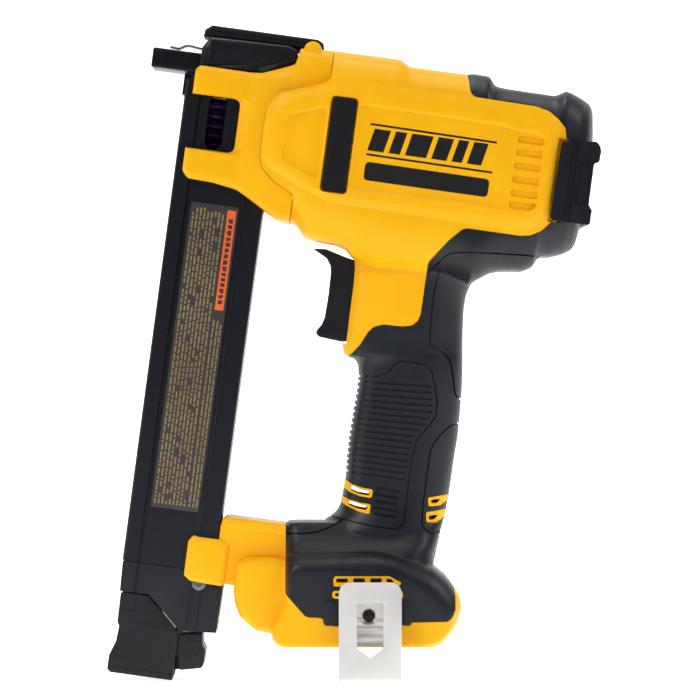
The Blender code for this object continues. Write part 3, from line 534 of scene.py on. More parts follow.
def grip_skin(inset=0.0, count=64):
    rings = []
    for z, front, rear, half in dense(GRIP, 2):
        front, rear, half = front + inset, rear - inset, half - inset
        ring = []
        for i in range(count):
            t = 2 * math.pi * (i + 0.5) / count
            c, s = math.cos(t), math.sin(t)
            ring.append(((front + rear) / 2 + (rear - front) / 2 * math.copysign(abs(c) ** 0.78, c),
                         half * math.copysign(abs(s) ** 0.86, s), z))
        rings.append(ring)
    return loft(rings)


NECK = [(34, -37.4, 36.0, 30.5, 8, 15), (42, -37.4, 36.6, 30, 8, 15), (46, -37.4, 37, 28.5, 8, 15), (49, -37.4, 38, 26.5, 8, 14),
        (52.5, -37.4, 39, 23.6, 8, 13), (56.5, -37.4, 40.2, 20.8, 7, 13), (60.2, -37.4, 41.2, 18.6, 6.5, 12), (61.6, -36.8, 41.6, 17.2, 6, 11),
        (62.1, -35.6, 41.8, 15, 6, 10)]
BLOCK_RIM = rounded([(-38.5, 0), (-42.9, 1.9), (-44.6, 6.9), (-43.4, 12), (-40, 17.3), (-37.5, 21.5), (-37.5, 47.4), (6, 48.6), (17, 47),
                     (27, 43.6), (36.8, 39.4), (43.6, 33.6), (49.6, 25.6), (50.7, 20), (48.6, 12.6), (44.2, 5.8), (40.4, 1.6), (36, 0)], 3.5, 5)
BLOCK_FACE = rounded([(-37.8, 1.6), (-40.8, 3), (-41.8, 7.2), (-40.6, 11.5), (-37.6, 16), (-34.6, 21.5), (-34.6, 38.6), (4, 38.9), (12, 38.6),
                      (20, 36.2), (30, 29.8), (37.5, 23.8), (43.2, 18.2), (44.4, 15.6), (43.4, 11.6), (41.2, 5.6), (38.6, 2.8), (35.6, 1.6)], 4, 5)


def resampled(points, count, centre):
    """Evenly spaced ring, started at the same bearing so that stacked rings don't twist."""
    pts = [Vector(p) for p in points] + [Vector(points[0])]
    lengths = [0.0]
    for a, b in zip(pts, pts[1:]):
        lengths.append(lengths[-1] + (b - a).length)
    out = []
    j = 0
    for i in range(count):
        want = lengths[-1] * i / count
        while lengths[j + 1] < want:
            j += 1
        out.append(pts[j].lerp(pts[j + 1], (want - lengths[j]) / max(lengths[j + 1] - lengths[j], 1e-9)))
    best = min(range(count), key=lambda i: abs(math.atan2(out[i].y - centre[1], out[i].x - centre[0]) - 3.0))
    return out[best:] + out[:best]


def stepped(rim, face, levels, centre, place=LEVEL, count=150):
    """Solid with its outline drawn in from the rim to the face towards both sides: levels are (share, y) from the middle out."""
    rim, face = resampled(rim, count, centre), resampled(face, count, centre)
    rings = []
    for share, y in [(t, -y) for t, y in reversed(levels)] + list(levels):
        rings.append([(a.x + (b.x - a.x) * share, y, a.y + (b.y - a.y) * share) for a, b in zip(rim, face)])
    return loft(rings, place)


def foot_skin(inset=0.0, steps=10, floor=0.0):
    rings = []
    rows = [r for r in dense(NECK, 1.2) if max(34, floor) < r[0] < NECK[-1][0] - inset]
    rows = [between(NECK, max(34, floor))] + rows + [between(NECK, NECK[-1][0] - inset)]
    for z, front, rear, half, near, far in rows:
        front, rear, half = front + inset, rear - inset, half - inset
        near, far = min(max(near - inset, 1), half - 1), min(max(far - inset, 1), half - 1)
        rings.append([(x, y, z) for x, y in oblong(front, rear, half, ((near, near), (far, far)), steps)])
    neck = loft(rings)
    rim, face = BLOCK_RIM, BLOCK_FACE
    if inset:
        rim, face = grown(rim, -inset), grown(face, -inset)
    block = stepped(rim, face, [(0, 25), (0.12, 29.4 - inset), (0.34, 33 - inset), (0.62, 35.6 - inset), (0.85, 36.7 - inset), (1, 37 - inset)],
                    (0, 20))
    if floor:
        block = cut(block, box(-80, 80, -60, 60, -20, floor), solver="MANIFOLD")
    return join(neck, block, solver="MANIFOLD")


VOXEL = 0.85 if FINE else 1.6


def blended(inset, passes):
    """The whole skin with its lofts melted into one another."""
    raw = join(body_skin(inset), grip_skin(inset), foot_skin(inset), solver="MANIFOLD")
    return evaluated(raw, ("REMESH", dict(mode="VOXEL", voxel_size=VOXEL, adaptivity=0.0)),
                     ("SMOOTH", dict(factor=0.5, iterations=passes)))


SEAM = [(-62.7, 180), (-62.7, 206.7), (-62.3, 216.7), (-63.7, 219.6), (-72.5, 223.8), (-80, 230), (-81.7, 236.7),
        (-81.8, 247.5), (-81.5, 258.3), (-79.2, 264.6), (-75, 268.2), (-54.2, 275.7), (-51.8, 278.3), (-51.7, 285.4),
        (-51.7, 310), (-150, 310), (-150, 180)]
SEAM = rounded(SEAM, 3.0, 4)
SOFT = [(15.4, 310), (15.4, 290), (16.7, 285), (17.7, 280.8), (20, 278.5), (50.8, 277.9), (57.5, 276.7),
        (62.5, 273.3), (66.7, 269.2), (68.2, 263.3), (65.8, 222.1), (61.7, 217.1), (56.7, 214.2), (51.7, 213.3),
        (25, 213.5), (22.5, 212.5), (16.7, 206.3), (8.3, 194.6)]
SOFT += [lean_point(*p) for p in [(33.6, 189.6), (31.7, 175.8), (30.2, 165.8), (28.8, 162.5), (25.8, 160.2),
                                  (20.8, 159.8), (11.7, 160.8), (6.7, 159.6), (3.8, 156.7), (0, 150.8),
                                  (-5, 145.4), (-30, 144), (-30, 90), (-37.1, 80), (-37.1, 28), (-36.7, 26.9),
                                  (-26.9, 15.8), (-19.2, 15.4), (-14.6, 11.5), (-10.8, 11.2), (20.4, 11.2),
                                  (24.6, 13.1), (43.1, 13.5), (45.4, 15), (47.3, 19.2), (47.2, 26.2), (46.5, 29.6),
                                  (70, 36), (130, 60), (170, 300)]]
SOFT = rounded(SOFT, 3.5, 3)

RING_BASE = rounded([(-81, 236), (-81, 260), (-75, 267.6), (-52, 276.5), (-42, 279), (50, 278.6), (60, 275), (66, 267),
                     (66, 228), (60, 217.5), (50, 213.8), (-44, 216.4), (-56, 220.5), (-76, 229.5)], 6, 6)
RING_TOP = rounded([(-75.8, 239), (-75.8, 258.5), (-72.5, 263), (-50, 270.8), (-42, 272), (50, 271.2), (57.5, 268.5),
                    (60.5, 262), (60.5, 229.5), (57.5, 223.5), (50, 221), (-44, 221), (-52, 223), (-72.5, 232.5)], 5, 6)


def raised_panel(side, y_base, y_top):
    """Chamfered panel lofted from its wide base to its narrower face."""
    count = 160

    def resample(points):
        pts = [Vector(p) for p in points] + [Vector(points[0])]
        lengths = [0.0]
        for a, b in zip(pts, pts[1:]):
            lengths.append(lengths[-1] + (b - a).length)
        out = []
        j = 0
        for i in range(count):
            want = lengths[-1] * i / count
            while lengths[j + 1] < want:
                j += 1
            span = max(lengths[j + 1] - lengths[j], 1e-9)
            out.append(pts[j].lerp(pts[j + 1], (want - lengths[j]) / span))
        return out

    def turned_to(points, centre):
        """Starts each ring at the same bearing, so that the sides don't twist."""
        best = min(range(len(points)), key=lambda i: abs(math.atan2(points[i].y - centre[1], points[i].x - centre[0]) - 3.0))
        return points[best:] + points[:best]

    base, top = turned_to(resample(RING_BASE), (-8, 246)), turned_to(resample(RING_TOP), (-8, 246))
    rings = []
    for t, y in ((0, y_base - 4), (0, y_base), (0.5, y_base + (y_top - y_base) * 0.62), (0.9, y_top - 0.12), (1.0, y_top)):
        rings.append([(b.x + (a.x - b.x) * t, side * y, b.y + (a.y - b.y) * t) for a, b in zip(top, base)])
    return loft(rings, LEAN)


# ------------------------------------------------------------------ clamshell and overmould
print("skin")
PASSES = 6
outer = blended(0.0, PASSES)
CLAMP_RIM = rounded([(-92, 23.6), (-88.6, 21.2), (-72.4, 20.5), (-71.4, 22.6), (-71.4, 42), (-76, 43.6), (-87.4, 43.6), (-89.6, 44.3), (-92, 41)], 1.6, 4)
CLAMP_FACE = rounded([(-89.6, 25.2), (-87.6, 23.4), (-74.6, 22.8), (-73.6, 24.4), (-73.6, 39.6), (-76.6, 41.2), (-86.6, 41.2), (-88.6, 41), (-89.6, 39.4)], 1.2, 4)
clamp = stepped(CLAMP_RIM, CLAMP_FACE, [(0, 17.4), (0.1, 18.4), (0.8, 19.8), (1, 20)], (-81.5, 32), LEAN, 90)
arm = soften(plate([(-77.2, 21.9), (-64.4, 21.6), (-60, 14), (-36, 14), (-36, 38), (-40.5, 55.5), (-76.1, 55.4), (-77.2, 51)], -17.6, 17.6, LEAN), 2.2, 5)
arm_lip = soften(plate([(-77.0, 49.6), (-39.5, 48.8), (-40.5, 55.3), (-76.0, 55.2)], -18.3, 18.3, LEAN), 2.0, 4)
CHEEK_RIM = rounded([(-66.2, 33.6), (-66.2, 19.5), (-64.8, 13.6), (-61.5, 7.2), (-52.6, 1.2), (-40, 0.6), (-36, 8), (-36, 38), (-50, 38.4), (-62.5, 36.6)], 3.0, 5)
CHEEK_FACE = rounded([(-62.6, 31.5), (-62.6, 19.5), (-61.4, 14.6), (-58.9, 9.6), (-51.6, 4.6), (-40, 3.8), (-36.5, 9), (-36.5, 33.6), (-49, 33.8), (-60, 32.9)], 2.0, 5)
bulge = stepped(CHEEK_RIM, CHEEK_FACE, [(0, 22), (0.1, 23.6), (0.35, 25.6), (0.75, 26.9), (1, 27.2)], (-50, 20), LEAN, 110)
panels = [raised_panel(side, 33.4, 36.2) for side in (-1, 1)]
outer = join(outer, *panels, clamp, arm, arm_lip, bulge, solver="MANIFOLD")


def dish(points, floor, top, flare, side, place=LEAN):
    """Cutter with its sides sloping outwards from a flat floor."""
    wide = grown(points, flare)
    mid = grown(points, flare * 0.3)
    return loft([[(a, side * y, b) for a, b in ring] for ring, y in
                 ((points, floor), (mid, floor + (top - floor) * 0.25), (wide, top), (grown(points, flare * 2), top + (top - floor)))], place)


# recessed faces inside the raised panel
SMALL_FACE = rounded([(-69.6, 235.4), (-51.6, 228), (-51.6, 263.4), (-69.6, 257.2)], 1.6, 5)
BIG_FACE = rounded([(-35.4, 226), (32.5, 226.3), (40.4, 225), (52.6, 225.6), (56.6, 229.3), (56.6, 260.8), (53, 264.2),
                    (46, 264.2), (40, 264.9), (36, 266), (-35.4, 267)], 2.0, 5)
BAR = rounded([(-49.2, 222.8), (-37.3, 222.8), (-37.3, 269), (-49.2, 269)], 1.6, 5)
details = []
for side in (-1, 1):
    for face in (SMALL_FACE, BIG_FACE):
        details.append(dish(face, 34.95, 36.2, 1.3, side))
    details.append(plate(grown(BAR, 0.8), *sorted((side * 33.6, side * 40)), LEAN))
    for top in (262.4, 255.9, 249.1, 242.3, 235.6, 229.6):
        slot_shape = rounded([(44.2, top - 3.2), (57.2, top - 3.2), (57.2, top), (44.2, top)], 1.3, 5)
        details.append(dish(slot_shape, 33.9, 34.95, 0.35, side))
# seat of the stored guide
for side in (-1, 1):
    details.append(plate(rounded([(63.9, 222.0), (70, 222.0), (70, 263.8), (64.2, 263.8)], 0.8, 4), *sorted((side * 30.6, side * 40)), LEAN))
outer = cut(outer, *details, solver="MANIFOLD")

# front lug and vents of the foot are their own inlays
VENT_FOOT_1 = rounded([(-13.2, 31.0), (15.5, 31.2), (20.0, 31.8), (20.3, 33.0), (14.5, 36.1), (-12.2, 36.1), (-13.2, 35.0)], 1.4, 4)
VENT_FOOT_2 = rounded([(-13.8, 25.0), (21.2, 25.0), (21.2, 28.9), (-13.8, 28.9)], 1.8, 5)
VENT_GRIP_1 = rounded([(-16, 84.5), (-7.4, 83), (-4, 80.8), (1.5, 79), (6.6, 78.2), (5.7, 74.0), (0, 74.9), (-5, 76.8), (-7.5, 78.6), (-16, 80.5)], 1.2, 4)
VENT_GRIP_2 = rounded([(-18, 76.4), (-8.8, 74.8), (-5.5, 73.2), (0, 71.7), (5.4, 70.9), (4.7, 66.0), (-1, 67.4), (-7, 70.2), (-9.2, 71.7), (-18, 73)], 1.2, 4)
VENT_REAR_1 = rounded([(34.2, 70.4), (34.0, 74.2), (44.2, 75.6), (60, 77.0), (60, 76.2), (44.6, 73.2), (40.2, 70.2), (35, 69.8)], 1.0, 4)
VENT_REAR_2 = rounded([(33.1, 62.3), (33.0, 66.9), (43.3, 68.3), (60, 70), (60, 69.2), (43.4, 65.4), (38.6, 61.7), (34, 61.8)], 1.0, 4)
VENTS = {"foot_upper": VENT_FOOT_1, "foot_lower": VENT_FOOT_2, "grip_upper": VENT_GRIP_1, "grip_lower": VENT_GRIP_2,
         "rear_upper": VENT_REAR_1, "rear_lower": VENT_REAR_2}

OPENINGS = {
    "foot_upper": [[(-11.8, 33.0), (-6.0, 33.0), (-6.0, 35.0), (-11.8, 35.0)], [(-3.4, 33.0), (2.4, 33.0), (2.4, 35.1), (-3.4, 35.1)],
                   [(5.0, 33.0), (10.7, 33.0), (10.7, 35.1), (5.0, 35.1)], [(13.1, 33.0), (17.2, 33.0), (15.2, 34.9), (13.1, 34.9)]],
    "foot_lower": [[(-12.4, 26.2), (-6.0, 26.2), (-6.0, 27.8), (-12.4, 27.8)], [(-3.4, 26.2), (2.4, 26.2), (2.4, 27.8), (-3.4, 27.8)],
                   [(5.0, 26.2), (10.7, 26.2), (10.7, 27.8), (5.0, 27.8)], [(13.4, 26.2), (19.8, 26.2), (19.8, 27.8), (13.4, 27.8)]],
    "grip_upper": [[(-4.4, 80.3), (0, 78.4), (5.0, 77.2), (4.5, 75.2), (-1, 76.2), (-4.6, 77.8)]],
    "grip_lower": [[(-5.2, 72.6), (0, 70.9), (3.8, 70.0), (3.2, 67.9), (-2, 69.0), (-5.8, 70.6)]],
    "rear_upper": [[(35.6, 73.2), (40.6, 73.5), (38.4, 71.5), (35.6, 71.3)]],
    "rear_lower": [[(34.4, 65.2), (39.4, 65.6), (37, 63.3), (34.4, 63.1)]],
}
THROUGH = OPENINGS["grip_upper"] + OPENINGS["grip_lower"]
CUT_ALL = [plate(rounded(SEAM, 0.1, 1), -60, 60, LEAN), box(-62, -16, -8.6, 8.6, 149, 193, LEAN),
           box(-33, 32.5, -29.5, 29.5, -2, 14.2), box(-130, -76.7, -16.4, 16.4, 0, 80, LEAN)]
SCREWS = [("housing_screw_front", (-56.5, 213.5), 24.0, LEAN), ("housing_screw_top", (52, 264), 27.0, LEAN),
          ("housing_screw_rear", (56, 222), 27.0, LEAN), ("housing_screw_grip", (36.5, 112), 9.0, LEVEL),
          ("housing_screw_foot", (-24, 46), 22.0, LEVEL)]
screw_wells = [rod((a, seat + 25, b), 3.6, 50, place=place) for _, (a, b), seat, place in SCREWS]
inner = blended(1.55, PASSES) if FINE else join(body_skin(1.55), grip_skin(1.55), foot_skin(1.55), solver="MANIFOLD")
hollow = join(body_skin(3.6, 4), grip_skin(3.6, 20), foot_skin(3.6, 3, 19.6), solver="MANIFOLD")

shell = cut(outer, cut(plate(SOFT, -60, 60, LEAN), inner, solver="MANIFOLD"), *CUT_ALL, *screw_wells, hollow, solver="MANIFOLD")
soft = keep(outer, plate(grown(SOFT, -0.28), -60, 60, LEAN), solver="MANIFOLD")
soft = cut(soft, inner, *CUT_ALL[1:], *screw_wells, grip_skin(1.5), solver="MANIFOLD")

# grooves in the overmould
near = blended(0.85, PASSES)
PANEL = rounded([(-25, 134.0), (-0.8, 135), (8.3, 134.8), (14.2, 137.1), (17.5, 141.3), (20.8, 142.5), (31.7, 141),
                 (35.8, 137.5), (37.5, 129.2), (38.5, 121.7), (37.9, 115), (34.2, 110), (28.3, 103.3), (26.7, 97.5),
                 (24.2, 83.3), (22.9, 70), (21.6, 61.5), (18.5, 58.6), (10, 59.6), (0, 61.4), (-12, 64.2), (-25, 66)], 2.2, 4)
BACK_LINE = smooth_line([(39.6, 188.3), (36.7, 175), (35, 158), (35, 151.7), (37, 149.2), (42.5, 145.8), (45.4, 140.8),
                         (46.7, 133.3), (48.3, 125), (55, 121.5)])
LOW_LINE = smooth_line([(55, 112.2), (49.6, 111.3), (44.2, 109.2), (36.7, 100.8), (34.2, 91.7), (31, 65), (32.2, 59),
                        (36, 56.6), (41, 57.6), (50, 60)])
HORN_LINE = smooth_line([(30, 183), (33.3, 185.5), (38, 190.4), (43, 195), (48.1, 196.3), (60, 196.2), (76, 195.4), (96, 194)])
LIP_LINE = smooth_line([(-45, 56.4), (-36.9, 56.5), (-23, 56.9), (-13.8, 60.2), (-8, 63.2), (-2, 63.6)])
panel_area = plate(grown(PANEL, -0.4), -60, 60)
grooves = [cut(plate(grown(PANEL, 0.4), -40, 40), panel_area, solver="MANIFOLD")]
grooves += [plate(ribbon(line, 0.8), -40, 40) for line in (BACK_LINE, LOW_LINE, LIP_LINE, HORN_LINE)]
skin_panel = cut(keep(soft, panel_area, solver="MANIFOLD"), near, solver="MANIFOLD")
for groove in grooves + [panel_area]:
    soft = cut(soft, cut(groove, near, solver="MANIFOLD"), solver="MANIFOLD")
rib_area = plate(grown(PANEL, -2.0), -60, 60)
slope = math.radians(6)
z = 85.1
while z < 134.5:
    rib = box(-60, 60, -40, 40, -0.55, 0.55, Matrix.Translation((10, 0, z)) @ Matrix.Rotation(slope * (1.3 - (z - 85) / 70), 4, "Y"))
    skin_panel = cut(skin_panel, keep(rib, rib_area, solver="MANIFOLD"), solver="MANIFOLD")
    z += 3.1
for n in range(5):
    rib = plate(ribbon([(7.9 - n * 0.27, 79.4 - n * 3.3), (19.5 - n * 0.45, 77.3 - n * 3.2)], 1.1), -40, 40)
    skin_panel = cut(skin_panel, rib, solver="MANIFOLD")
vent_tools = [plate(grown(v, 0.15), -60, 60) for v in VENTS.values()]
soft = cut(soft, *vent_tools, solver="MANIFOLD")
shell = cut(shell, *[cut(tool, grip_skin(2.4), foot_skin(2.4), solver="MANIFOLD") for tool in vent_tools], solver="MANIFOLD")
for opening in THROUGH:
    shell = cut(shell, plate(rounded(opening, 0.8, 3), -60, 60), solver="MANIFOLD")

skin_panel = cut(skin_panel, *vent_tools[2:4], solver="MANIFOLD")
left, right = box(-200, 200, -80, -0.12, -50, 350), box(-200, 200, 0.12, 80, -50, 350)
print("halves")
show("shell_left", keep(shell, left, solver="MANIFOLD"), YELLOW, "tool", ["main_housing_left"])
show("shell_right", keep(shell, right, solver="MANIFOLD"), YELLOW, "tool", ["main_housing_right"])
show("grip_panel_left", keep(skin_panel, left, solver="MANIFOLD"), RIB_BLACK, "tool", ())
show("grip_panel_right", keep(skin_panel, right, solver="MANIFOLD"), RIB_BLACK, "tool", ())
show("overmould_left", keep(soft, left, solver="MANIFOLD"), SOFT_BLACK, "tool", ["grip_overmold_left"])
show("overmould_right", keep(soft, right, solver="MANIFOLD"), SOFT_BLACK, "tool", ["grip_overmold_right"])

# ------------------------------------------------------------------ vent inlays
rim_skin = join(grip_skin(-0.12), foot_skin(-0.12), solver="MANIFOLD")
rim_inner = join(grip_skin(1.5), foot_skin(1.5), solver="MANIFOLD")
# Layer just inside the skin that carries the painted-shade sheets behind the vent openings.
shade_sheet_outer = join(grip_skin(1.5), foot_skin(1.5), solver="MANIFOLD")
shade_sheet_inner = join(grip_skin(2.2), foot_skin(2.2), solver="MANIFOLD")
rim_shell = cut(rim_skin, rim_inner, solver="MANIFOLD")
shade_sheet_shell = cut(shade_sheet_outer, shade_sheet_inner, solver="MANIFOLD")
for name, shape in VENTS.items():
    rim = keep(rim_shell, plate(shape, -60, 60), solver="MANIFOLD")
    for opening in OPENINGS[name]:
        rim = cut(rim, plate(rounded(opening, 0.8, 4), -60, 60), solver="MANIFOLD")
    # Behind the openings of the foot and rear vents a near-black sheet is painted shade, standing in for the dark
    # inside of the housing.
    shade_sheet = keep(shade_sheet_shell, plate(shape, -60, 60), solver="MANIFOLD")
    show("vent_" + name, rim, YELLOW, "tool", ())
    if name not in ("grip_upper", "grip_lower"):
        show("vent_shade_sheet_" + name, shade_sheet, SHADE_AND_WIRE_BLACK, "tool", ())

# ------------------------------------------------------------------ printed graphics on the side panels
for side, label in ((-1, "left"), (1, "right")):
    y0, y1 = sorted((side * 34.90, side * 35.02))
    for n, (a, b) in enumerate((((-29.2, 258.3), (34.0, 257.4)), ((-29.4, 243.2), (33.6, 242.4)))):
        show("stripe_%s_%d" % (label, n), plate([(a[0], a[1] - 0.5), (b[0], b[1] - 0.5), (b[0], b[1] + 0.5), (a[0], a[1] + 0.5)],
                                                 y0, y1, LEAN), PRINT_BLACK, "tool", ())
    blocks = []
    at = -29.2
    for width in (9.5, 7.0, 12.0, 9.0, 6.5, 8.5):
        blocks.append(plate([(at, 245.2), (at + width - 1.4, 245.1), (at + width + 1.0, 256.2), (at + 2.4, 256.3)], y0, y1, LEAN))
        at += width + 1.15
    show("blocks_" + label, together(*blocks), PRINT_BLACK, "tool", ())
    show("name_bar_" + label, plate(rounded([(-29.2, 239.6), (-29.2, 230.4), (32.7, 229.9), (32.9, 238.9)], 2.4, 6), y0, y1, LEAN),
         PRINT_BLACK, "tool", ())
    bar = soften(plate(BAR, *sorted((side * 33.7, side * 36.95)), LEAN), 1.0, 4, 50)
    show("side_bar_" + label, bar, RUBBER, "tool", ["side_bumper_" + label])

# ------------------------------------------------------------------ front housing
print("front")
FRONT = [(-119.4, 223.6, 275.4, 19.2), (-117.4, 221.4, 277.1, 21), (-116, 220.4, 277.2, 21), (-103.3, 219.8, 277, 21.2), (-91.7, 217.9, 276.8, 22),
         (-86, 215, 277.2, 24), (-77, 209.8, 280.6, 27), (-70.3, 206.3, 283.5, 28.5), (-68.6, 205.8, 291.6, 29.2),
         (-63.3, 205.2, 292.2, 30), (-58, 204.5, 292.6, 30), (-50, 204, 292.8, 30)]
rings = []
for u, low, high, half in dense(FRONT, 1.5):
    soft_top = 5 if u < -84 else 5 + (u + 84) * 0.25
    rings.append([(u, y, w) for w, y in oblong(low, high, half, ((3.4, 3.4), (soft_top - 1.6, 3.4 if u < -84 else 3.4 + (u + 84) * 0.2)), 8)])
front = evaluated(loft(rings, LEAN), ("REMESH", dict(mode="VOXEL", voxel_size=0.6 if FINE else 1.2, adaptivity=0.0)),
                  ("SMOOTH", dict(factor=0.5, iterations=3)))
lugs = [soften(rod((-62.5, side * 21, 291.2), 4.5, 12, place=LEAN, sides=48), 1.0, 3) for side in (-1, 1)]
front = join(front, *lugs, solver="MANIFOLD")
window = rounded([(-135, 262.7), (-95, 262.7), (-95, 235.5), (-135, 235.5)], 4.0, 8)
window_tool = soften(plate(window, -60, 60, LEAN), 0.3, 2)
window_wide = rounded([(-135, 263.6), (-89.6, 263.6), (-89.6, 234.6), (-135, 234.6)], 6.5, 8)
flares = []
for side in (-1, 1):
    rings = [[(a[0], side * y, a[1]) for a in ring] for ring, y in ((window, 17.5), (window, 18.6), (window_wide, 21.9), (window_wide, 26))]
    flares.append(loft(rings, LEAN))
front = keep(front, plate([(u - 0.3, w) for u, w in SEAM], -60, 60, LEAN), solver="MANIFOLD")
front = cut(front, window_tool, *flares, box(-135, -76.6, -16.4, 16.4, 190, 300, LEAN),
            box(-74, -40, -24, 24, 209.5, 271.5, LEAN), box(-80, -40, -15.8, 15.8, 271.4, 285.2, LEAN),
            box(-73, -40, -18, 18, 209.5, 288.8, LEAN), solver="MANIFOLD")
show("front_left", keep(front, left, solver="MANIFOLD"), YELLOW, "tool", ["front_housing_left"])
show("front_right", keep(front, right, solver="MANIFOLD"), YELLOW, "tool", ["front_housing_right"])

cover = plate([(-117.9, 277.7), (-117.7, 286.2), (-114.2, 292.1), (-74.6, 292.7), (-70.4, 291.3), (-69.7, 287.5),
               (-70.8, 284.3), (-85.4, 277.7)], -17.4, 17.4, LEAN, 1.6, 5)
cover = cut(cover, box(-125, -60, -15.8, 15.8, 270, 288, LEAN))
for side in (-1, 1):
    y0, y1 = sorted((side * 16.9, side * 20))
    cover = cut(cover, plate([(-112.9, 270), (-88.2, 270), (-88.2, 279.8), (-76.2, 284.6), (-76.2, 289.6), (-112.9, 289.2)], y0, y1, LEAN))
show("cover", cover, HARD_BLACK, "tool", ["nose_cover"], edge=0.25)
bumper = plate([(-117.9, 292.2), (-117.5, 295.4), (-114.2, 298.0), (-60.8, 297.8), (-57.9, 296.2), (-57, 292.6)],
               -15, 15, LEAN, 1.4, 5)
bumper = join(bumper, box(-111, -60, -12, 12, 291.4, 294.4, LEAN))
for side in (-1, 1):
    bumper = cut(bumper, box(-114, -60, *sorted((side * 14.7, side * 17)), 295.0, 295.4, LEAN))
show("bumper_top", bumper, RUBBER, "tool", ["top_bumper"])

# ------------------------------------------------------------------ magazine
print("magazine")
def side_profile(left_edge, right_edge, half, notches):
    """Outline across the column: notches are (from, to, depth) along the side."""
    upper = [(left_edge, half - 0.9), (left_edge + 0.9, half)]
    for a, b, depth in notches:
        upper += [(a, half), (a, half - depth), (b, half - depth), (b, half)]
    upper += [(right_edge - 0.6, half), (right_edge, half - 0.6)]
    return upper + [(u, -y) for u, y in reversed(upper)]


column = post([(-123.4, 15.1), (-122.5, 16), (-116, 16), (-115.9, 14.4), (-114.4, 14.4), (-114.3, 16), (-88.6, 16), (-88.5, 15.7),
               (-87.9, 15.7), (-87.8, 16), (-86.6, 16), (-86.5, 15.2), (-77.6, 15.2), (-77, 14.6),
               (-77, -14.6), (-77.6, -15.2), (-86.5, -15.2), (-86.6, -16), (-87.8, -16), (-87.9, -15.7), (-88.5, -15.7), (-88.6, -16),
               (-114.3, -16), (-114.4, -14.4), (-115.9, -14.4), (-116, -16), (-122.5, -16), (-123.4, -15.1)], 27, 270, LEAN)
column = join(column, box(-125, -120.9, -9, 9, 262, 272.8, LEAN), box(-121.2, -108, -14, 14, 268, 273.1, LEAN))
column = cut(column, box(-120.4, -92.5, -13, 13, 0, 300, LEAN), box(-87, -79.5, -12, 12, 0, 300, LEAN),
             soften(plate(stadium(-106.1, 240.4, 260, 4.4), -40, 0, LEAN), 0.2, 2))
show("column", column, ANODISED, "tool", ["magazine_body"], edge=0.18)
show("label", soften(plate(rounded([(-113, 55.5), (-88.9, 55.5), (-88.9, 209.2), (-113, 209.2)], 0.8, 4), -16.35, -16.03, LEAN), 0.05, 1),
     LABEL, "tool", ["magazine_label"])
rng = random.Random(7)
words = []
for line in range(9):
    u = -111.2 + line * 1.86
    w = 57.6
    while w < 206.5:
        length = rng.uniform(0.9, 4.2)
        if w + length > 207.5:
            break
        if rng.random() > 0.05:
            words.append(plate([(u - 0.46, w), (u + 0.46, w), (u + 0.46, w + length), (u - 0.46, w + length)], -16.40, -16.35, LEAN))
        w += length + rng.uniform(0.55, 0.95)
for run in ((57.6, 154.5),):
    w = run[0]
    for u in (-93.9, -91.9, -90.2):
        w = run[0]
        while w < run[1]:
            length = rng.uniform(1.2, 5.6)
            if w + length > run[1]:
                break
            words.append(plate([(u - 0.42, w), (u + 0.42, w), (u + 0.42, w + length), (u - 0.42, w + length)], -16.40, -16.35, LEAN))
            w += length + rng.uniform(0.5, 0.8)
show("label_print", together(*words), LABEL_INK, "tool", ())
show("label_band", plate(rounded([(-94.3, 157), (-89.9, 157), (-89.9, 207.2), (-94.3, 207.2)], 0.5, 3), -16.41, -16.35, LEAN),
     LABEL_ORANGE, "tool", ())
marks = []
w = 160.0
while w < 203:
    length = rng.uniform(1.6, 2.6)
    marks.append(plate([(-93.2, w), (-91.0, w), (-91.0, w + length), (-93.2, w + length)], -16.43, -16.40, LEAN))
    w += length + 0.8
show("label_band_print", together(*marks), LABEL, "tool", ())

block = plate(rounded([(-122.7, 11.5), (-108.1, 11.7), (-90.8, -4.2), (-78.5, -3.6), (-72.2, -3.1), (-72, 19.8), (-77, 20),
                       (-77, 26.7), (-123.2, 26.7)], 0.6, 3), -15.6, 15.6, LEAN, 0.9, 4)
block = cut(block, box(-120.4, -92.5, -13, 13, -30, 40, LEAN))
for side in (-1, 1):
    y0, y1 = sorted((side * 15.0, side * 20))
    block = cut(block, box(-116, -114.3, *sorted((side * 14.4, side * 20)), -30, 40, LEAN), box(-88.0, -85.9, y0, y1, -30, 17, LEAN),
                box(-82.6, -82.0, y0, y1, -30, 18.5, LEAN))
well = rod((-84.0, 15.6, 16.2), 3.7, 1.6, place=LEAN)
block = cut(block, rod((-84, -15, 20.4), 1.8, 20, place=LEAN, sides=24))
show("lower_block", block, CAST, "tool", ["magazine_lower_block"], edge=0.25)
screw = turned([(0, 1.9), (2.2, 1.9), (3.4, 1.5), (3.8, 0.8), (3.8, 0), (1.5, 0), (1.5, -8), (0, -8)], (0, 0, 0), "Z", 48)
screw = cut(screw, rod((0, 0, 1.6), 1.7, 1.6, "Z", 6))
screw.transform(LEAN @ Matrix.Translation((-84, -15.95, 20.4)) @ Matrix.Rotation(math.pi / 2, 4, "X"))
show("screw_clamp", screw, DARK_STEEL, "tool", ["clamp_screw"])

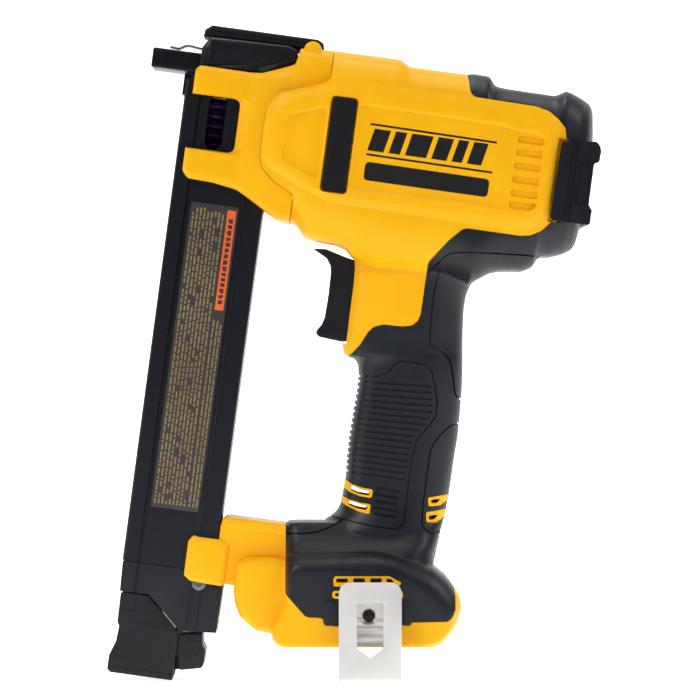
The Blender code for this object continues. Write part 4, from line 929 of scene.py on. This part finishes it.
cap = plate(rounded([(-122.1, 10.8), (-108.5, 10.9), (-90.8, -5.3), (-90.8, -29.4), (-122.1, -29.3), (-123.8, -27.8),
                     (-123.8, -21), (-121.2, -13.4), (-120.7, -5.8), (-121.8, -4)], 0.9, 4), -16.5, 16.5, LEAN, 1.3, 4)
for side in (-1, 1):
    y0, y1 = sorted((side * 10.2, side * 13.4))
    cap = join(cap, soften(plate(rounded([(-92, -4.9), (-85, -7), (-82, -10), (-82, -14), (-86, -17), (-92, -17)], 1.5, 4), y0, y1, LEAN), 0.4, 2))
cap = cut(cap, box(-100.6, -92.3, -12.7, 12.7, -12.3, 40, LEAN), box(-97, -80, -9.9, 9.9, -27.5, -12.8, LEAN),
          rod((-85.5, 0, -11), 1.2, 40, place=LEAN, sides=24))
for side in (-1, 1):
    y0, y1 = sorted((side * 16.0, side * 20))
    cap = cut(cap, box(-126, -113.4, *sorted((side * 15.9, side * 20)), 2.2, 14, LEAN),
              plate(ribbon([(-124, -26.2), (-90, -26.4)], 0.6), *sorted((side * 16.1, side * 20)), LEAN))
show("cap_body", cap, HARD_BLACK, "magazine_slide", ["end_cap"], edge=0.25)
latch = plate(rounded([(-90.3, -6.0), (-79, -4.4), (-78.1, -10.3), (-76.5, -12.5), (-76.5, -20.1), (-77.4, -21.5),
                       (-91.5, -24.6), (-91.5, -14.4), (-90.3, -14.2), (-90.3, -12.6)], 0.6, 4), -9.6, 9.6, LEAN, 0.8, 4)
latch = cut(latch, box(-94, -88.2, -3.4, 3.4, -27, -16.2, LEAN))
latch = cut(latch, rod((-85.5, 0, -11), 1.2, 30, place=LEAN, sides=24))
for n in range(4):
    latch = cut(latch, box(-77.6, -75, -8.2, 8.2, -19.6 + n * 1.9, -18.9 + n * 1.9, LEAN))
LATCH_SIDE = rounded([(-90.0, -6.2), (-79, -4.6), (-78.1, -10.3), (-76.5, -12.5), (-76.5, -20.1), (-77.4, -21.5), (-87.4, -23.8), (-88.3, -23.0), (-89.9, -12.5)], 0.8, 4)
for side in (-1, 1):
    latch = join(latch, soften(plate(LATCH_SIDE, *sorted((side * 13.7, side * 15.2)), LEAN), 0.5, 3, 50))
latch = join(latch, soften(box(-81.4, -76.7, -14.9, 14.9, -20.6, -12.9, LEAN), 0.5, 3))
show("latch_body", latch, HARD_BLACK, "latch", ["latch"], edge=0.2)

rail = box(-94.1, -92.8, -12.2, 12.2, -12, 266, LEAN)
for side in (-1, 1):
    y0, y1 = sorted((side * 11, side * 12.2))
    rail = join(rail, box(-100.2, -93.5, y0, y1, -12.01, 266.01, LEAN))
rail = join(rail, box(-114, -93.5, -8, 8, 176, 179, LEAN))
show("rail", rail, BRIGHT, "magazine_slide", ["magazine_rail"], edge=0.2)
pusher = join(box(-115, -100.8, -9, 9, 262, 267.5, LEAN), box(-101.2, -94.5, -10.6, 10.6, 262.01, 267.49, LEAN))
pusher = join(pusher, rod((-104.5, 0, 263.2), 1.2, 24, place=LEAN, sides=24))
show("pusher_block", pusher, BRIGHT, "pusher", ["pusher"], edge=0.3)
spring = show("spring_pusher", coil((-107, 0, 179.9), 6.0, 0.95, 80.9, 16.5, "Z", LEAN, 32, 3, True), VIOLET, "magazine_slide",
              ["pusher_spring"])
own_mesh(spring)
spring = show("spring_latch", coil((-96.3, 0, -20), 2.4, 0.42, 7.2, 4, "X", LEAN, 24, 2), STEEL, "magazine_slide",
              ["latch_spring"])
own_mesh(spring)

# ------------------------------------------------------------------ nose
trip = cut(soften(box(-142, -97, -15, 15, 273.4, 283.3, LEAN), 0.9, 3), box(-150, -90, -13.5, 13.5, 275, 281.8, LEAN),
           box(-150, -141, -10, 10, 281, 286, LEAN), box(-141.2, -96, 14.6, 16, 276.7, 277.1, LEAN),
           box(-141.2, -96, -16, -14.6, 276.7, 277.1, LEAN))
trip = join(trip, box(-98, -78.5, -15, -12.6, 275, 283, LEAN), box(-98, -78.5, 12.6, 15, 275, 283, LEAN))
show("trip_sleeve", trip, NOSE, "contact_trip", ["contact_trip"], edge=0.2)
guide = cut(box(-133.5, -87.2, -12.2, 12.2, 275.4, 281.4, LEAN), box(-150, -60, -8.6, 8.6, 276.8, 279.2, LEAN),
            box(-122, -93, -8.6, 8.6, 270, 277.5, LEAN))
show("guide_block", guide, STEEL, "tool", ["nose_guide"], edge=0.3)
strip_line = smooth_line([(-134.2, 285.3), (-132, 285.1), (-129.5, 285.1), (-126.8, 286.6), (-124, 287.0), (-118.2, 286.4), (-104, 286.4)], 8)
show("clip_strip", plate(ribbon(strip_line, 0.9), -4, 4, LEAN), STEEL, "tool", ["guide_clip_spring"], edge=0.15)
spring = show("spring_trip", coil((-77.6, -13.8, 279), 1.6, 0.35, 15, 8, "X", LEAN, 20, 2), STEEL, "tool", ["trip_spring"])
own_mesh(spring)

# ------------------------------------------------------------------ trigger
TRIGGER = [(-23.6, 199.0), (-21.3, 197.4), (-16.7, 194.2), (-14.8, 190.4), (-14.6, 186.7), (-15.8, 175.8), (-17.7, 164.2),
           (-19.2, 160.8), (-21.7, 157.9), (-22.1, 156.2), (-20.4, 154.6), (-9.3, 152.2), (-2, 152.6), (-0.8, 160), (0.5, 185),
           (0.5, 192), (-7, 194.5), (-17, 198.6)]
trigger = plate(rounded(TRIGGER, 1.6, 4), -8, 8, LEVEL, 2.4, 6)
show("trigger_body", trigger, HARD_BLACK, "trigger", ["trigger"])
spring = show("spring_trigger", coil((1.2, 0, 172), 3.0, 0.4, 9.2, 5, "X", LEVEL, 24, 2), STEEL, "tool", ["trigger_spring"])
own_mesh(spring)

# ------------------------------------------------------------------ belt hook
print("hook")
def strip(points, x0, x1, thickness):
    """Bent strip: line in the y-z plane, given a width along x and a thickness."""
    ring = ribbon(points, thickness)
    bm = outline_solid(ring, x1 - x0)
    # outline (y, z) laid in x-y; turned so that its first axis is y, its second z, and its thickness x
    bm.transform(Matrix.Translation(((x0 + x1) / 2, 0, 0)) @ Matrix(((0, 0, 1, 0), (1, 0, 0, 0), (0, 1, 0, 0), (0, 0, 0, 1))))
    bmesh.ops.dissolve_limit(bm, angle_limit=0.0005, verts=bm.verts, edges=bm.edges)
    return finish(bm, LEVEL)


def arc(cy, cz, r, start, end, steps=8):
    return [(cy + r * math.cos(math.radians(start + (end - start) * i / steps)),
             cz + r * math.sin(math.radians(start + (end - start) * i / steps))) for i in range(steps + 1)]


hook_line = [(-50.4, 33.8)] + [(-50.4, -12.5)] + arc(-47.2, -12.8, 3.2, 180, 270, 10)[1:] + arc(-42.4, -12.8, 3.2, 270, 360, 10)
hook_line += [(-39.2, -2.0)] + smooth_line([(-39.2, -0.5), (-39.6, 1.4), (-41.4, 3.4), (-42.0, 5.6), (-41.6, 7.6), (-40.6, 9.2), (-40.6, 10.8),
                                          (-39.6, 12.2), (-38.35, 13.6), (-38.3, 15.0)], 5) + [(-38.3, 23.5)]
outer_leaf = strip(hook_line[:12], -10.5, 20.4, 1.5)
hook = strip(hook_line, -10.5, 20.4, 1.5)
front_shape = plate(rounded([(-10.5, -24), (20.4, -24), (20.4, 33.9), (-10.5, 33.9)], 6.5, 10), -60, -45)
hook = join(keep(hook, front_shape), keep(hook, box(-9.4, 19.3, -45.4, -30, -20, 40)))
hook = cut(hook, plate(rounded([(-1.6, 23.7), (-1.6, 1.4), (5, -3.4), (11.4, 1.4), (11.4, 23.7)], 0.8, 4), -60, -45))
hook = cut(hook, box(-1.4, 11.2, -45.2, -36, -4.6, 1.5))
hook = cut(hook, rod((4.3, -38, 16.8), 1.7, 8, sides=24))
show("hook", hook, PLATED, "tool", ["belt_hook"], edge=0.22)
screw = turned([(0, 1.9), (1.0, 1.9), (2.4, 1.45), (3.0, 0.8), (3.15, 0.2), (3.15, 0), (1.4, 0), (1.4, -7), (0, -7)], (0, 0, 0), "Z", 48)
cross = [box(-2.0, 2.0, -0.42, 0.42, 0.7, 3), box(-0.42, 0.42, -2.0, 2.0, 0.71, 3.01)]
screw = cut(screw, *cross)
screw.transform(Matrix.Translation((4.3, -39.25, 16.8)) @ Matrix.Rotation(math.pi / 2, 4, "X"))
show("screw_hook", screw, BLACK_OXIDE, "tool", ["hook_screw"])
for side, label in ((-1, "left"), (1, "right")):
    for n, (x0, x1) in enumerate(((-18.2, -11.4), (20.9, 25.6))):
        y0, y1 = sorted((side * 36.0, side * 37.6))
        boss = soften(plate(rounded([(x0, 11.6), (x1, 11.6), (x1, 24), (x0, 24)], 2.2, 5), y0, y1), 0.7, 4)
        show("boss_%s_%d" % (label, n), boss, SOFT_BLACK, "tool", ())

# ------------------------------------------------------------------ stored cable guide
GUIDE = rounded([(65.8, 262.1), (64.9, 224.6), (66, 223), (84.2, 222.8), (85, 230), (83, 232.9), (83, 253.3), (85.4, 254.6),
                 (85.7, 260), (84.2, 263.3), (82.5, 264.3)], 0.9, 4)
guide = None
for side in (-1, 1):
    y0, y1 = sorted((side * 34.5, side * 36.8))
    cheek = plate(GUIDE, y0, y1, LEAN)
    y2, y3 = sorted((side * 36.0, side * 40))
    cheek = cut(cheek, box(71.5, 74.6, y2, y3, 221, 262.3, LEAN), plate(rounded([(76, 232.6), (81.8, 232.6), (81.8, 253.6), (76, 253.6)], 1, 4), y2, y3, LEAN))
    guide = cheek if guide is None else together(guide, cheek)
guide = join(guide, soften(box(83.2, 84.9, -35.5, 35.5, 223.4, 231, LEAN), 0.3, 2), soften(box(83.2, 85.2, -35.5, 35.5, 255, 262.5, LEAN), 0.3, 2))
show("guide_clip", guide, HARD_BLACK, "cable_guide", ["cable_guide"], edge=0.3)

# ------------------------------------------------------------------ housing screws
for name, (a, b), seat, place in SCREWS:
    screw = turned([(0, 2.2), (1.2, 2.2), (2.5, 1.9), (3.1, 1.2), (3.1, 0.3), (1.4, 0.3), (1.4, -seat - 8), (0, -seat - 8)], (0, 0, 0), "Z", 40)
    star = [box(-1.6, 1.6, -0.45, 0.45, 0.9, 4), box(-1.6, 1.6, -0.45, 0.45, 0.91, 4.01, Matrix.Rotation(math.radians(60), 4, "Z")),
            box(-1.6, 1.6, -0.45, 0.45, 0.92, 4.02, Matrix.Rotation(math.radians(120), 4, "Z"))]
    screw = cut(screw, *star)
    screw.transform(place @ Matrix.Translation((a, seat, b)) @ Matrix.Rotation(-math.pi / 2, 4, "X"))
    show("screw_" + name.split("_")[-1], screw, BLACK_OXIDE, "tool", [name])

# ------------------------------------------------------------------ inner pieces keep their CAD shape with finished surfaces
INNER = {"driver_blade": BRIGHT, "driver_bumper": RUBBER, "drive_frame": ALUMINIUM, "flywheel_rotor": STEEL,
         "flywheel_stator": COPPER, "axle": BRIGHT, "bearing_left": STEEL, "bearing_right": STEEL, "pinch_arm": STEEL,
         "arm_pin": BRIGHT, "pinch_roller": BRIGHT, "arm_solenoid": CAST, "solenoid_plunger": BRIGHT, "arm_spring": STEEL,
         "return_spring": STEEL, "trigger_switch": HARD_BLACK, "control_board": BOARD, "terminal_block": HARD_BLACK,
         "power_wire_left": WIRE_RED, "power_wire_right": SHADE_AND_WIRE_BLACK, "latch_pin": BRIGHT}
for node, material in INNER.items():
    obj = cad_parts[node]
    obj.data.materials.clear()
    obj.data.materials.append(material)
    for polygon in obj.data.polygons:
        polygon.material_index = 0
    modifier = obj.modifiers.new("edge", "BEVEL")
    modifier.width = 0.00025
    modifier.segments = 2
    modifier.limit_method = "ANGLE"
    modifier.angle_limit = math.radians(40)

# ------------------------------------------------------------------ studio
low = -0.0175
curve_line = [(1.2 + 0.8 * math.sin(math.radians(a)), 0.8 - 0.8 * math.cos(math.radians(a))) for a in range(0, 91, 6)] + [(2.0, 4.0)]


def sheet(name, line, glow):
    bm = bmesh.new()
    rows = [[bm.verts.new((x, y, z + low)) for y, z in line] for x in (-4.0, 4.0)]
    for i in range(len(line) - 1):
        bm.faces.new((rows[0][i], rows[1][i], rows[1][i + 1], rows[0][i + 1]))
    mesh = bpy.data.meshes.new(name)
    bm.to_mesh(mesh)
    bm.free()
    mesh.shade_smooth()
    obj = bpy.data.objects.new(name, mesh)
    scene.collection.objects.link(obj)
    material, tree, shader = nodes_of(name + "_paper")
    shader.inputs["Roughness"].default_value = 0.9
    shader.inputs["Specular IOR Level"].default_value = 0.1
    shader.inputs["Emission Color"].default_value = (1, 1, 1, 1)
    shader.inputs["Emission Strength"].default_value = glow
    tree.links.new(ramp(tree, noise_of(tree, mapped(tree), 3, 2), [(0.0, (0.90, 0.90, 0.90)), (1.0, (0.93, 0.93, 0.93))]),
                   shader.inputs["Base Color"])
    # Seen from behind, the paper is clear, so that it never hides the object.
    output = next(n for n in tree.nodes if n.type == "OUTPUT_MATERIAL")
    clear = tree.nodes.new("ShaderNodeBsdfTransparent")
    behind = tree.nodes.new("ShaderNodeNewGeometry")
    mixed = tree.nodes.new("ShaderNodeMixShader")
    tree.links.new(behind.outputs["Backfacing"], mixed.inputs[0])
    tree.links.new(shader.outputs[0], mixed.inputs[1])
    tree.links.new(clear.outputs[0], mixed.inputs[2])
    tree.links.new(mixed.outputs[0], output.inputs["Surface"])
    mesh.materials.append(material)


sheet("floor_front", [(-3.0, 0), (-0.45, 0)], 0.0)
sheet("floor_back", [(-0.45, 0), (0.6, 0), (1.2, 0)] + curve_line[1:], 0.85)

world = bpy.data.worlds.new("studio")
scene.world = world
world.use_nodes = True
world.node_tree.nodes["Background"].inputs["Color"].default_value = (1, 1, 1, 1)
glow_tree = world.node_tree
seen = glow_tree.nodes.new("ShaderNodeLightPath")
level = glow_tree.nodes.new("ShaderNodeMapRange")
level.inputs["To Min"].default_value = 0.10
level.inputs["To Max"].default_value = 0.92
glow_tree.links.new(seen.outputs["Is Camera Ray"], level.inputs["Value"])
glow_tree.links.new(level.outputs["Result"], glow_tree.nodes["Background"].inputs["Strength"])


def area_light(name, where, towards, size, energy):
    data = bpy.data.lights.new(name, "AREA")
    data.shape = "RECTANGLE"
    data.size, data.size_y = size
    data.energy = energy
    obj = bpy.data.objects.new(name, data)
    obj.location = where
    obj.rotation_euler = (Vector(towards) - Vector(where)).to_track_quat("-Z", "Y").to_euler()
    scene.collection.objects.link(obj)
    return obj


area_light("key", (-0.9, -1.1, 1.5), (0, 0, 0.16), (0.55, 0.55), 13.7)
area_light("fill", (1.3, -1.3, 0.5), (0, 0, 0.15), (0.5, 1.0), 1.7)
area_light("rim", (1.1, -0.35, 1.1), (0, 0, 0.2), (0.45, 0.45), 5)
area_light("top", (0.1, 0.0, 1.7), (0, 0, 0.15), (1.0, 0.5), 9)
area_light("side", (-1.5, -0.35, 0.3), (0, 0, 0.15), (0.3, 1.2), 3.6)

data = bpy.data.cameras.new("camera")
data.sensor_width = 36
data.lens = 205.7
data.clip_end = 50
camera = bpy.data.objects.new("camera", data)
camera.location = (-0.005, -2.015, 0.148)
camera.rotation_euler = (math.pi / 2, 0, 0)
scene.collection.objects.link(camera)
scene.camera = camera
scene.view_settings.view_transform = "Standard"
